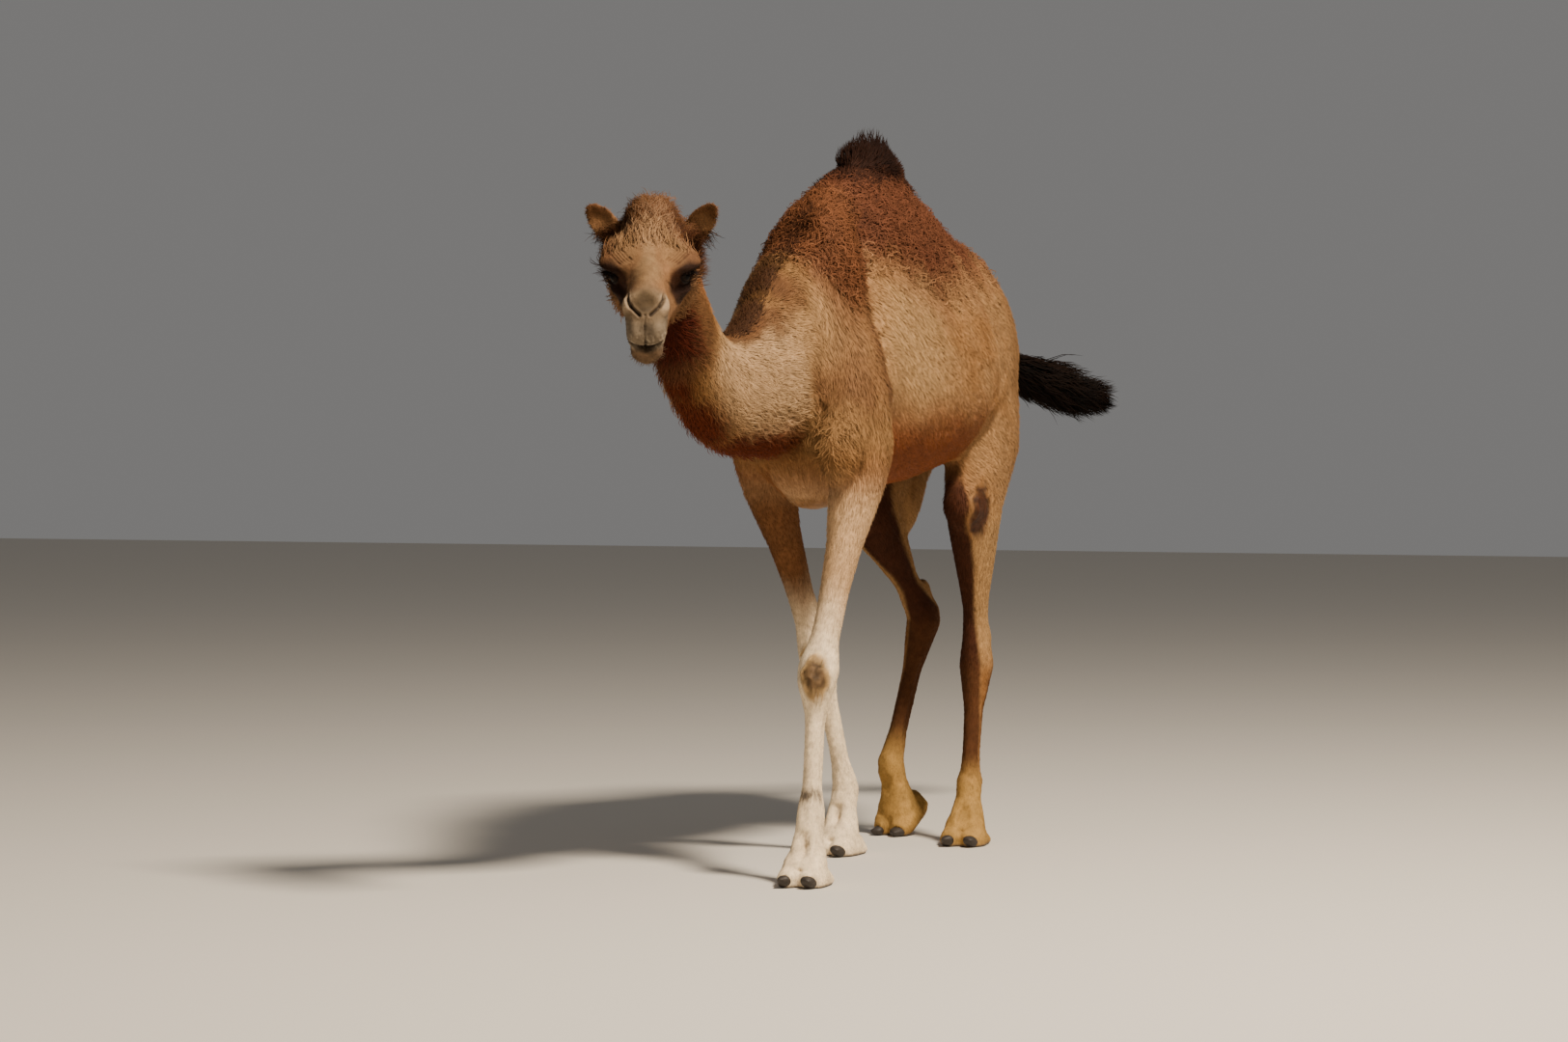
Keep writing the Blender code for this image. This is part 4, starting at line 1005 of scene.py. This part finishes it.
def scatter(count, density, seed):
    """Roots on the skin, spread by a density given for each skin point."""
    chance = np.random.default_rng(seed)
    a, b, c = (SKIN_POINTS[TRI_POINTS[:, i]] for i in range(3))
    area = row_length(np.cross(b - a, c - a)) * density[TRI_POINTS].mean(axis=1)
    steps = (np.arange(count) + chance.random(count)) / count * area.sum()
    pick = np.minimum(np.searchsorted(np.cumsum(area), steps), len(area) - 1)
    u, v = chance.random(count), chance.random(count)
    flip = u + v > 1
    u, v = np.where(flip, 1 - u, u), np.where(flip, 1 - v, v)
    shares = np.stack([1 - u - v, u, v], axis=1)[:, :, None]

    def mix(values, corners):
        return (values[corners[pick]] * shares).sum(axis=1)

    roots = {"point": mix(SKIN_POINTS, TRI_POINTS), "colour": mix(colours, TRI_POINTS),
             "normal": unit_rows(mix(SKIN_NORMALS, TRI_POINTS)), "uv": mix(SKIN_UV, TRI_CORNERS)}
    return roots, body_places(roots["point"]), chance

# %% [markdown]
# The coat lies back along the neck and flanks, down the ribs, chest, rump and legs, and on the
# head from the nose up over the forehead and back over the cheeks.

# %% Lie of the coat
WANDER = 0.22  # how far slow waves turn the coat

def square_to(rows, axes):
    """The rows turned square to the axes, and made one long."""
    return unit_rows(rows - axes * (rows * axes).sum(axis=1)[:, None])

def lie_of_coat(found, points, normals, chance, stray):
    """The direction each hair lies in, along the skin."""
    y, head, count = found["y"], found["head"], len(points)
    lie = np.tile([0.0, 0.8, -0.6], (count, 1))
    lie[:, 0] = 0.25 * np.sign(found["x"])
    turns = ((ease(y, 0.45, 0.8), (0, 0.15, -1.0)),  # rump
             (ease(-y, 0.42, 0.62), (0, 0.25, -1.0)),  # chest
             (found["on_neck"], (0, 0, -0.35) - found["neck_heading"]),
             ((found["leg"] >= 0) * ease(-found["z"], -1.1, -0.95), found["leg_heading"]),
             (found["tail"], (0.5, 0.75, -0.3)))
    for share, heading in turns:
        lie = blend(lie, np.array(heading), share[:, None])
    out = np.sign(head[:, 0])
    back = np.stack([0.9 * out * ease(head[:, 1], 0.03, 0.1), np.ones(count),
                     0.9 * ease(head[:, 2], 0.02, 0.06) - 0.7 * ease(-head[:, 2], 0.0, 0.06)], axis=1)
    ear = np.stack([0.55 * out, np.zeros(count), np.full(count, 0.8)], axis=1)
    back = blend(back, ear, found["on_ear"][:, None])
    lie = blend(lie, back @ HEAD_AXES.T, found["on_head"][:, None])
    lie += chance.normal(size=lie.shape) * stray
    lie += np.stack([waves(points, 0.12, 21 + i) for i in range(3)], axis=1) * WANDER
    return square_to(lie, normals)

# %% [markdown]
# Every tuft of a coat has the same few rings, so its triangles and its patch of the unwrap are
# worked out once. A whole coat then becomes one mesh, straight from arrays.

# %% Build joined meshes
UV_REACH = 0.0015  # half the size of a tuft's patch of the unwrap
pieces = []

def add_mesh(name, points, triangles, uv, colour, normals):
    """One joined mesh with its unwrap, colours and shading normals."""
    mesh = bpy.data.meshes.new(name)
    mesh.vertices.add(len(points))
    mesh.vertices.foreach_set("co", points.astype(np.float32).ravel())
    mesh.loops.add(triangles.size)
    mesh.loops.foreach_set("vertex_index", triangles.astype(np.int32).ravel())
    mesh.polygons.add(len(triangles))
    mesh.polygons.foreach_set("loop_start", np.arange(0, triangles.size, 3, dtype=np.int32))
    mesh.update(calc_edges=True)
    layer = mesh.uv_layers.new(name="OFBake")
    layer.data.foreach_set("uv", uv[triangles.ravel()].astype(np.float32).ravel())
    mesh.shade_smooth()
    mesh.normals_split_custom_set_from_vertices(normals.astype(np.float32))
    thing = bpy.data.objects.new(name, mesh)
    scene.collection.objects.link(thing)
    paint(thing, colour, np.zeros(len(points)))
    mesh.materials.append(HAIR)
    pieces.append(thing)

def tuft_faces(rings):
    """The triangles of one tuft: its foot, its sides ring by ring, and its tip."""
    faces = [(0, 2, 1)]
    for ring in range(rings):
        for i in range(3):
            a, b = ring * 3 + i, ring * 3 + (i + 1) % 3
            faces += [(a, b, ring * 3 + 3)] if ring == rings - 1 else [(a, b, a + 3), (b, b + 3, a + 3)]
    return np.array(faces)

def tuft_patch(rings):
    """The small patch of the unwrap that one tuft covers, point by point."""
    rows = [(x * UV_REACH, y + (2 * UV_REACH * ring / rings - UV_REACH))
            for ring in range(rings) for x, y in ((-1, 0), (1, 0), (0, 0.0001))]
    return np.array(rows + [(0, UV_REACH)])

print("tufts of 1, 3 and 4 steps have", [len(tuft_faces(steps)) for steps in (1, 3, 4)], "triangles")

# %% [markdown]
# A tuft rises from its root, curls and thins out. The shading normals lean towards the skin's,
# which keeps a mass of hairs soft instead of glittering.

# %% Grow tufts
COAT_LIMIT = 190000  # triangles in one piece
RIDGE = 0.35  # height of a tuft's ridge, for its width
CURL_TURN = 5.5  # how far a curl turns from root to tip, in radians
ROOT_SHADE, TIP_SHADE = 0.74, 1.15
ROOT_SINK = 0.0006
HAIR_LOWEST = 0.0005

def grow(name, roots, lie, length, width, lift, chance, rings=1, curl=0.0, droop=0.0):
    """Grow a tuft from each root; big coats are shared out over several pieces."""
    count = len(length)
    normal, side = roots["normal"], np.cross(roots["normal"], lie)
    phase = chance.uniform(0, 2 * math.pi, count)
    turn = curl * chance.choice([-1, 1], count)
    tone = np.exp(chance.normal(0, 0.11, count))[:, None]
    rows, shades, lean = [], [], []
    for share in np.arange(rings + 1) / rings:
        rise = np.sin(lift) * share - droop * share ** 2
        along = lie * (np.cos(lift) * share)[:, None] + normal * rise[:, None]
        sway = turn * (np.sin(phase + share * CURL_TURN) - np.sin(phase)) * 0.5
        lift_sway = np.abs(turn) * (np.cos(phase + share * CURL_TURN) - np.cos(phase)) * 0.35
        offset = along + side * sway[:, None] + normal * lift_sway[:, None]
        middle = roots["point"] + offset * length[:, None]
        half = (width * np.ones(count) * 0.5 * (1 - share) ** 0.6)[:, None]
        if share == 1:
            rows.append(middle[:, None])
            lean.append(normal[:, None])
        else:
            low = middle - normal * ROOT_SINK
            ridge = middle + normal * (half * 2 * RIDGE)
            rows.append(np.stack([low - side * half, low + side * half, ridge], axis=1))
            lean.append(np.stack([normal - side * 0.7, normal + side * 0.7, normal + lie * 0.1], axis=1))
        shades.append(np.full((count, rows[-1].shape[1]), ROOT_SHADE + (TIP_SHADE - ROOT_SHADE) * share))
    points = np.concatenate(rows, axis=1)
    points[:, :, 2] = np.maximum(points[:, :, 2], HAIR_LOWEST)
    normals = np.concatenate(lean, axis=1)
    normals /= np.linalg.norm(normals, axis=2)[:, :, None]
    colour = roots["colour"][:, None] * np.concatenate(shades, axis=1)[:, :, None] * tone[:, None]
    uv = roots["uv"][:, None] + tuft_patch(rings)[None]
    faces = tuft_faces(rings)
    batches = max(1, math.ceil(count * len(faces) / COAT_LIMIT))
    order = np.argsort(roots["point"][:, 1], kind="stable")
    for number, batch in enumerate(np.array_split(order, batches)):
        starts = np.arange(len(batch))[:, None, None] * points.shape[1]
        label = name if batches == 1 else name + "_" + str(number + 1)
        add_mesh(label, points[batch].reshape(-1, 3), (faces[None] + starts).reshape(-1, 3),
                 uv[batch].reshape(-1, 2), colour[batch].reshape(-1, 3), normals[batch].reshape(-1, 3))
    print(name, count, "tufts,", count * len(faces), "triangles in", batches, "pieces")

# %% [markdown]
# ## Short coat
# It covers everything but bare skin. It is longest on neck and flank, and shortest on the face and
# feet, where the tufts are finest too.

# %% Grow the short coat
BODY_TUFTS = 118000
FACE_TUFTS = 26000

def low_leg(found):
    """1 on the legs below the body's edge."""
    return (found["leg"] >= 0) * ease(-found["z"], -0.95, -0.8)

at = drawn(SKIN_POINTS)
head = SKIN_PLACES["head"]
on_head, on_neck, on_ear = (SKIN_PLACES[key] for key in ("on_head", "on_neck", "on_ear"))
wool = wool_share(SKIN_PLACES)
cover = (1 - bare_skin) * (SKIN_PLACES["z"] > 0.012) * (1 - ease(on_ear, 0.3, 0.8))
density = cover * (1 - on_head) * (1 + 0.9 * low_leg(SKIN_PLACES)) * (1 - 0.55 * wool)
roots, found, chance = scatter(BODY_TUFTS, density, 31)
lie = lie_of_coat(found, roots["point"], roots["normal"], chance, 0.1)
length = hair_length(found) * chance.uniform(0.75, 1.25, BODY_TUFTS)
on_leg = low_leg(found)
lift = chance.uniform(0.1, 0.34, BODY_TUFTS) * (1 - 0.35 * on_leg)
grow("coat_body", roots, lie, length * (1 + 0.3 * on_leg), 0.003 - 0.001 * on_leg, lift, chance)

muzzle = on_head * ease(-head[:, 1], 0.15, 0.2)
brow_skin = on_head * blob(one_sided(head), (0.074, -0.042, 0.056), (0.04, 0.044, 0.036))
density = cover * ease(on_head, 0.05, 0.3) * (1 - 0.7 * muzzle) * (1 - 0.9 * brow_skin)
roots, found, chance = scatter(FACE_TUFTS, density, 32)
lie = lie_of_coat(found, roots["point"], roots["normal"], chance, 0.1)
length = hair_length(found) * chance.uniform(0.8, 1.2, FACE_TUFTS)
width = 0.0012 + 0.0008 * ease(length, 0.008, 0.02)
grow("coat_face", roots, lie, length, width, chance.uniform(0.1, 0.3, FACE_TUFTS), chance)

# %% [markdown]
# ## Wool of hump and shoulder
# The wool stands in curled locks. They are wider, have three steps each, and lie every way, with
# the fall of the coat only just winning.

# %% Grow the wool
WOOL_LOCKS = 20000
roots, found, chance = scatter(WOOL_LOCKS, cover * ease(wool, 0.15, 0.7), 33)
lie = lie_of_coat(found, roots["point"], roots["normal"], chance, 0.55)
clumps = waves(roots["point"], 0.024, 61)
roots["colour"] = roots["colour"] * (1 + 0.4 * clumps)[:, None]
length = chance.uniform(0.018, 0.034, WOOL_LOCKS) * (1 + 0.35 * clumps)
grow("wool_hump", roots, lie, length, 0.005, chance.uniform(0.25, 0.75, WOOL_LOCKS), chance, rings=3,
     curl=0.5, droop=0.3)

# %% [markdown]
# ## Crest, mane and beard
# Long hair stands up in dark spikes on the crest of the hump, runs down the withers, hangs under
# the throat, and makes the forelock and the fringe behind the cheeks.

# %% Grow the long hair
def hull_of(*nodes):
    """A search tree of some solids, to find the room inside them."""
    hull = bmesh.new()
    for node in nodes:
        hull.from_mesh(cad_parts[node].data)
    tree = BVHTree.FromBMesh(hull)
    hull.free()
    return tree

def room(hull, points, headings, most):
    """How far each hair can reach before it leaves the solids."""
    reach = np.full(len(points), most)
    for i, (point, heading) in enumerate(zip(points, headings)):
        distance = hull.ray_cast(Vector(point + heading * 0.002), Vector(heading), most)[3]
        if distance is not None:
            reach[i] = distance
    return reach

BODY_HULL = hull_of("hump", "head", "trunk", "neck_upper", "neck_lower")

def long_hair(name, count, density, seed, lengths, width, lift, rings=3, curl=0.12, droop=0.1, stray=0.25,
              hex_colour=None, fill=0.0, mixed=None, size=None):
    """Long locks on the part of the skin where density is above nothing."""
    roots, found, chance = scatter(count, density, seed)
    lie = lie_of_coat(found, roots["point"], roots["normal"], chance, stray)
    share = size(found) if size else 1
    length = chance.uniform(*lengths, count) * share
    rise = chance.uniform(*lift, count) * (0.2 + 0.8 * share)
    if fill:
        heading = lie * np.cos(rise)[:, None] + roots["normal"] * np.sin(rise)[:, None]
        length = np.minimum(length, room(BODY_HULL, roots["point"], heading, lengths[1]) + fill)
    if hex_colour:
        shade = linear(hex_colour) * np.exp(chance.normal(0, 0.15, count))[:, None]
        roots["colour"] = blend(roots["colour"], shade, 0.75)
    if mixed:
        length = length * np.where(chance.random(count) < 0.1, 1.4, 1.0)
        dark = (chance.random(count) < 0.35)[:, None]
        roots["colour"] = np.where(dark, linear(mixed), roots["colour"])
    grow(name, roots, lie, length, width, rise, chance, rings, curl, droop)

def poll_share(found):
    """Share of its full length that the hair of the poll has: short on the forehead and the sides."""
    out, back, up = one_sided(found["head"]).T
    return (0.14 + 0.86 * ease(back + 0.5 * up, 0.02, 0.15)) * (1 - 0.45 * ease(out, 0.025, 0.06))

x, y, z = at.T
out, back, up = one_sided(head).T
density = ease(0.26 - np.abs(y + 0.03), 0, 0.12) * ease(z - on_curve(y, HUMP_CREST), -0.05, -0.01)
long_hair("hair_crest", 3200, density, 41, (0.06, 0.15), 0.006, (1.0, 1.55), curl=0.16, droop=0.0, stray=0.6,
          hex_colour="150804", fill=0.012)
density = ease(0.03 - np.abs(x), 0, 0.02) * ease(-y, 0.42, 0.56) * ease(y, -1.0, -0.9)
density = density * ease(SKIN_NORMALS[:, 2], 0.1, 0.5)
long_hair("hair_withers", 1600, density, 42, (0.018, 0.036), 0.0042, (0.35, 0.9), curl=0.2, stray=0.4,
          hex_colour="1e0e07")
density = on_neck * ease(SKIN_PLACES["neck_under"], 0.35, 0.75) * cover * (back > -0.02)
long_hair("hair_throat", 6500, density, 43, (0.026, 0.052), 0.0034, (0.15, 0.55), curl=0.2, droop=0.05,
          stray=0.15)
density = on_neck * (1 - on_head) * cover
long_hair("hair_neck", 7000, density, 44, (0.018, 0.032), 0.0028, (0.1, 0.28), curl=0.1, stray=0.12)
density = on_head * ease(back + 0.5 * up, 0.0, 0.1) * ease(up, 0.03, 0.07) * (1 - on_ear)
long_hair("hair_poll", 7200, density, 45, (0.024, 0.058), 0.0021, (0.35, 1.25), curl=0.3, stray=0.5,
          fill=0.028, mixed="4a2c14", size=poll_share)
density = ease(on_head, 0.1, 0.5) * ease(back, 0.045, 0.08) * ease(0.075 - up, 0, 0.03)
density = density * ease(up, -0.07, -0.02) * ease(out, 0.045, 0.065)
long_hair("hair_cheek", 2400, density, 46, (0.035, 0.066), 0.0022, (0.8, 1.5), curl=0.15, stray=0.3,
          hex_colour="3a1e0f")
density = on_head * ease(-up, 0.095, 0.115) * ease(-back, 0.1, 0.16)
long_hair("hair_chin", 260, density, 47, (0.01, 0.02), 0.001, (0.3, 0.9), curl=0.1, stray=0.3)
long_hair("hair_ears", 5200, on_ear, 48, (0.007, 0.015), 0.0016, (0.15, 0.55), rings=1, curl=0)

# %% [markdown]
# ## Tail
# The dock ends in a black tuft that has swung out to the camel's left. Long locks grow from a
# slim core and lie back along it, fanning out until they fill the outline of the solid tuft.

# %% Grow the tail's tuft
TAIL_LINE = np.array(((0.018, 0.905, 1.462), (0.045, 0.965, 1.418), (0.085, 1.01, 1.385), (0.14, 1.06, 1.358),
                      (0.2, 1.11, 1.336), (0.24, 1.143, 1.326)))
TAIL_LOCKS = 5200
TAIL_CLUMPS = 80
PLUME = (0.024, 0.03, 0.052, 0.058, 0.038, 0.008)  # how far from the line locks start
SIDE_LIMIT = CAD_BOX[1][0] + 0.01
chance = np.random.default_rng(51)
clump = chance.integers(0, TAIL_CLUMPS, TAIL_LOCKS)
last = len(TAIL_LINE) - 1.001
spots = np.clip(np.linspace(0, last, TAIL_CLUMPS)[clump] + chance.normal(0, 0.35, TAIL_LOCKS), 0, last)
step = spots.astype(int)
middle = blend(TAIL_LINE[step], TAIL_LINE[step + 1], (spots - step)[:, None]) + np.array(SHIFT)
heading = unit_rows(TAIL_LINE[step + 1] - TAIL_LINE[step])
outward = unit_rows(chance.normal(size=(TAIL_CLUMPS, 3)))[clump] + chance.normal(0, 0.28, (TAIL_LOCKS, 3))
outward[:, 2] -= 0.25
outward = square_to(outward, heading)
rise = chance.uniform(0.02, 0.58, TAIL_CLUMPS)[clump] + chance.normal(0, 0.09, TAIL_LOCKS)
aim = heading * np.cos(rise)[:, None] + outward * np.sin(rise)[:, None]
plume = np.interp(spots, range(len(PLUME)), PLUME) * np.sqrt(chance.uniform(0.1, 1, TAIL_LOCKS))
middle = middle + outward * plume[:, None]
inside = room(hull_of("tail_tuft", "tail_dock"), middle, aim, 0.2)
length = np.minimum(chance.uniform(0.07, 0.17, TAIL_LOCKS), inside + 0.038)
beside = (SIDE_LIMIT - middle[:, 0]) / np.maximum(aim[:, 0], 0.2)
length = np.minimum(length, beside * chance.uniform(0.45, 1.05, TAIL_LOCKS))
shade = np.exp(chance.normal(0, 0.5, TAIL_CLUMPS)[clump])[:, None]
uv_of_point = np.zeros((len(SKIN_POINTS), 2))
uv_of_point[TRI_POINTS.ravel()] = SKIN_UV[TRI_CORNERS.ravel()]
dock_end = np.nonzero(at[:, 1] > 0.93)[0]
roots = {"point": middle, "normal": outward, "colour": linear("0e0603") * shade,
         "uv": uv_of_point[chance.choice(dock_end, TAIL_LOCKS)]}
grow("hair_tail", roots, heading, length, 0.0048, rise, chance, rings=4, curl=0.12, droop=0.05)

# %% [markdown]
# The core is a tapering tube through the middle of the tuft. It hides the gaps between the locks.

# %% Build the tail's core
CORE_SIDES = 14
CORE_RADIUS = 0.017
CORE_TAPER = 0.18  # of the radius, lost at each step
core = bmesh.new()
rings = []
for i, middle in enumerate(TAIL_LINE):
    way = TAIL_LINE[min(i + 1, len(TAIL_LINE) - 1)] - TAIL_LINE[max(i - 1, 0)]
    turn = Vector(way).to_track_quat("Z", "Y").to_matrix()
    radius = CORE_RADIUS * (1 - CORE_TAPER * i)
    angles = [2 * math.pi * k / CORE_SIDES for k in range(CORE_SIDES)]
    spokes = [turn @ Vector((math.cos(angle), math.sin(angle), 0)) * radius for angle in angles]
    rings.append([core.verts.new(Vector(middle) + SHIFT + spoke) for spoke in spokes])
for ring, after in zip(rings, rings[1:]):
    for k in range(CORE_SIDES):
        j = (k + 1) % CORE_SIDES
        core.faces.new([ring[k], ring[j], after[j], after[k]])
for ring in (rings[0], rings[-1]):
    core.faces.new(ring)
bmesh.ops.recalc_face_normals(core, faces=core.faces)
tail_core = add_object("tail_core", core)
tail_core.data.shade_smooth()
core_points = len(tail_core.data.vertices)
paint(tail_core, np.tile(linear("241612"), (core_points, 1)), np.zeros(core_points))
tail_core.data.materials.append(SKIN)
print("core of the tail has", core_points, "points")

# %% [markdown]
# ## Eyes and lashes
# A camel's eye is large and dark, with a wide pupil across it and a wet cornea. The ball is a
# sphere whose front carries the iris; long lashes hang from the upper lid. Its white and iris are
# near black: the eye's own dark colour and painted shade from the brow and lashes.

# %% Model the eyes
CORNEA_BULGE = 0.035  # of the ball's radius
IRIS_RAYS = 38
PUPIL = (0.52, 0.28)  # half width and half height, for the ball's radius
CORNEA, tree, shader = new_material("wet_eye", Roughness=0.12, Specular_IOR_Level=0.02, Coat_Weight=0.08,
                                    Coat_Roughness=0.02)
markings = add_node(tree, "ShaderNodeAttribute", {"attribute_name": "Coat"})
fill_sockets(shader, {"Base Color": markings.outputs["Color"]})

def make_eyeball(side, word):
    """The ball in one socket, with its iris and pupil painted on."""
    ball = bmesh.new()
    bmesh.ops.create_uvsphere(ball, u_segments=64, v_segments=48, radius=EYE_RADIUS)
    eye = add_object("eyeball_" + word, ball)
    forward, upward, sideways = get_points(eye).T / EYE_RADIUS
    away = np.sqrt(forward ** 2 + upward ** 2)
    front = sideways > 0

    def disc(reach, low, high):
        return ((1 - ease(reach, low, high)) * front)[:, None]

    rays = 0.5 + 0.5 * np.sin(np.arctan2(upward, forward) * IRIS_RAYS)
    pupil = np.sqrt((forward / PUPIL[0]) ** 2 + (upward / PUPIL[1]) ** 2)
    # near-black tones: the eye's own dark colour and painted shade from the brow and lashes
    tone = blend(linear("0f0907"), linear("090605"), disc(away, 0.84, 0.9))  # the white and its rim
    tone = blend(tone, linear("150c07"), disc(away, 0.76, 0.82))  # iris
    tone *= 1 + 0.35 * rays[:, None] * disc(away, 0.72, 0.8)
    tone = blend(tone, linear("040303"), disc(pupil, 0.92, 1.02))
    bulge = 1 + CORNEA_BULGE * (1 - ease(away, 0.0, 0.78)) * front
    spread = np.stack([sideways, forward, upward], axis=1) * (EYE_RADIUS * bulge)[:, None]
    set_points(eye, EYE_CENTRES[side] + spread @ eye_axes(side))
    eye.data.shade_smooth()
    turned = bmesh.new()
    turned.from_mesh(eye.data)
    bmesh.ops.recalc_face_normals(turned, faces=turned.faces)
    turned.to_mesh(eye.data)
    turned.free()
    paint(eye, tone, np.ones(len(away)))
    eye.data.materials.append(CORNEA)
    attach(eye, "root")
    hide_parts("eye_" + word)

# %% [markdown]
# Lashes stand on the upper lid's edge, bend down over the eye and are as dark as the lid.

# %% Grow the lashes
LASHES = 150

def grow_lashes(side, word):
    """The lashes of one upper lid."""
    axes = eye_axes(side)
    chance = np.random.default_rng(60 + side)
    across = chance.uniform(-SLIT_HALF, SLIT_HALF, LASHES)
    height = SLIT_UP * np.sqrt(np.clip(1 - (across / SLIT_HALF) ** 2, 0, 1))
    height = height + chance.uniform(0.02, 0.16, LASHES)
    level = np.cos(height)
    normal = np.stack([level * np.cos(across), level * np.sin(across), np.sin(height)], axis=1) @ axes
    fall = -axes[2] * 0.75 + axes[0] * 0.55 + axes[1] * (across * 0.5)[:, None]
    fall = square_to(fall + chance.normal(size=(LASHES, 3)) * 0.1, normal)
    roots = {"point": EYE_CENTRES[side] + normal * (EYE_RADIUS + LID * 0.9), "normal": normal,
             "colour": np.tile(linear("150e0b"), (LASHES, 1)),
             "uv": uv_of_point[chance.choice(np.nonzero(lid_edge > 0.5)[0], LASHES)]}
    length, lift = chance.uniform(0.014, 0.026, LASHES), chance.uniform(0.5, 0.9, LASHES)
    grow("lashes_" + word, roots, fall, length, 0.0011, lift, chance, rings=3, curl=0.05, droop=-0.15)

for side, word in ((1, "left"), (-1, "right")):
    make_eyeball(side, word)
    grow_lashes(side, word)

# %% [markdown]
# ## Nails
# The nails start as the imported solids. Subdivision softens them, each is drawn out to a flat tip
# like a blunt claw, and the horn has growth lines across.

# %% Model the nails
NAIL_REACH = 0.026
HORN, tree, shader = new_material("nail_horn", Roughness=0.62)
place = add_node(tree, "ShaderNodeTexCoord")
lines = add_node(tree, "ShaderNodeTexNoise", Vector=place.outputs["Object"], Scale=160.0, Detail=3.0)
tone = add_node(tree, "ShaderNodeMix", {"data_type": "RGBA"}, Factor=lines.outputs["Fac"],
                _6=(*linear("15110e"), 1), _7=(*linear("3d342c"), 1))
bump = add_node(tree, "ShaderNodeBump", Strength=0.4, Distance=0.001, Height=lines.outputs["Fac"])
fill_sockets(shader, {"Base Color": tone.outputs[2], "Normal": bump.outputs["Normal"]})
NAIL_NODES = [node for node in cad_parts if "_nail_" in node]
horn = bmesh.new()
for node in NAIL_NODES:
    horn.from_mesh(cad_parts[node].data)
bmesh.ops.remove_doubles(horn, verts=horn.verts, dist=SAME_PLACE)
nails = add_object("nails", horn)
nails.modifiers.new("soften", "SUBSURF").levels = 2
apply_modifiers(nails)
points = get_points(nails)
for node in NAIL_NODES:
    centre = np.array(box_centre(node))
    ahead = (drawn(centre) - LEG_JOINTS[node.split("_nail_")[0]][3]) * (1, 1, 0)
    ahead /= np.linalg.norm(ahead)
    mine = row_length(points - centre) < 1.5 * NAIL_REACH
    local = points[mine] - centre
    forward = local @ ahead
    taper = 0.7 * ease(forward / NAIL_REACH, -0.3, 1.1)[:, None]
    beside = (local - forward[:, None] * ahead) * (1, 1, 0) * (1.3 - taper)
    depth = min((centre[2] - 0.001) / -local[:, 2].min(), 1.5)
    level = np.where(local[:, 2:] < 0, depth, 1.1 - taper) * local * (0, 0, 1)
    points[mine] = centre + forward[:, None] * ahead * 1.12 + beside + level
points[:, 2] = np.maximum(points[:, 2], SKIN_LOWEST)
set_points(nails, points)
nails.data.shade_smooth()
nails.data.materials.clear()
nails.data.materials.append(HORN)
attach(nails, "root")
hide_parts(*NAIL_NODES)
print("nails from", len(NAIL_NODES), "solids")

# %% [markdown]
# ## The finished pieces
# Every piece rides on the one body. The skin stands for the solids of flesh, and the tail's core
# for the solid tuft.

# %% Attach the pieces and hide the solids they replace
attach(skin, "root")
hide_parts(*FLESH)
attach(tail_core, "root")
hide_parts("tail_tuft")
for piece in pieces:
    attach(piece, "root")
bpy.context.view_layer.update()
total = sum(len(piece.data.polygons) for piece in pieces)
print("coat", total, "triangles in", len(pieces), "pieces")
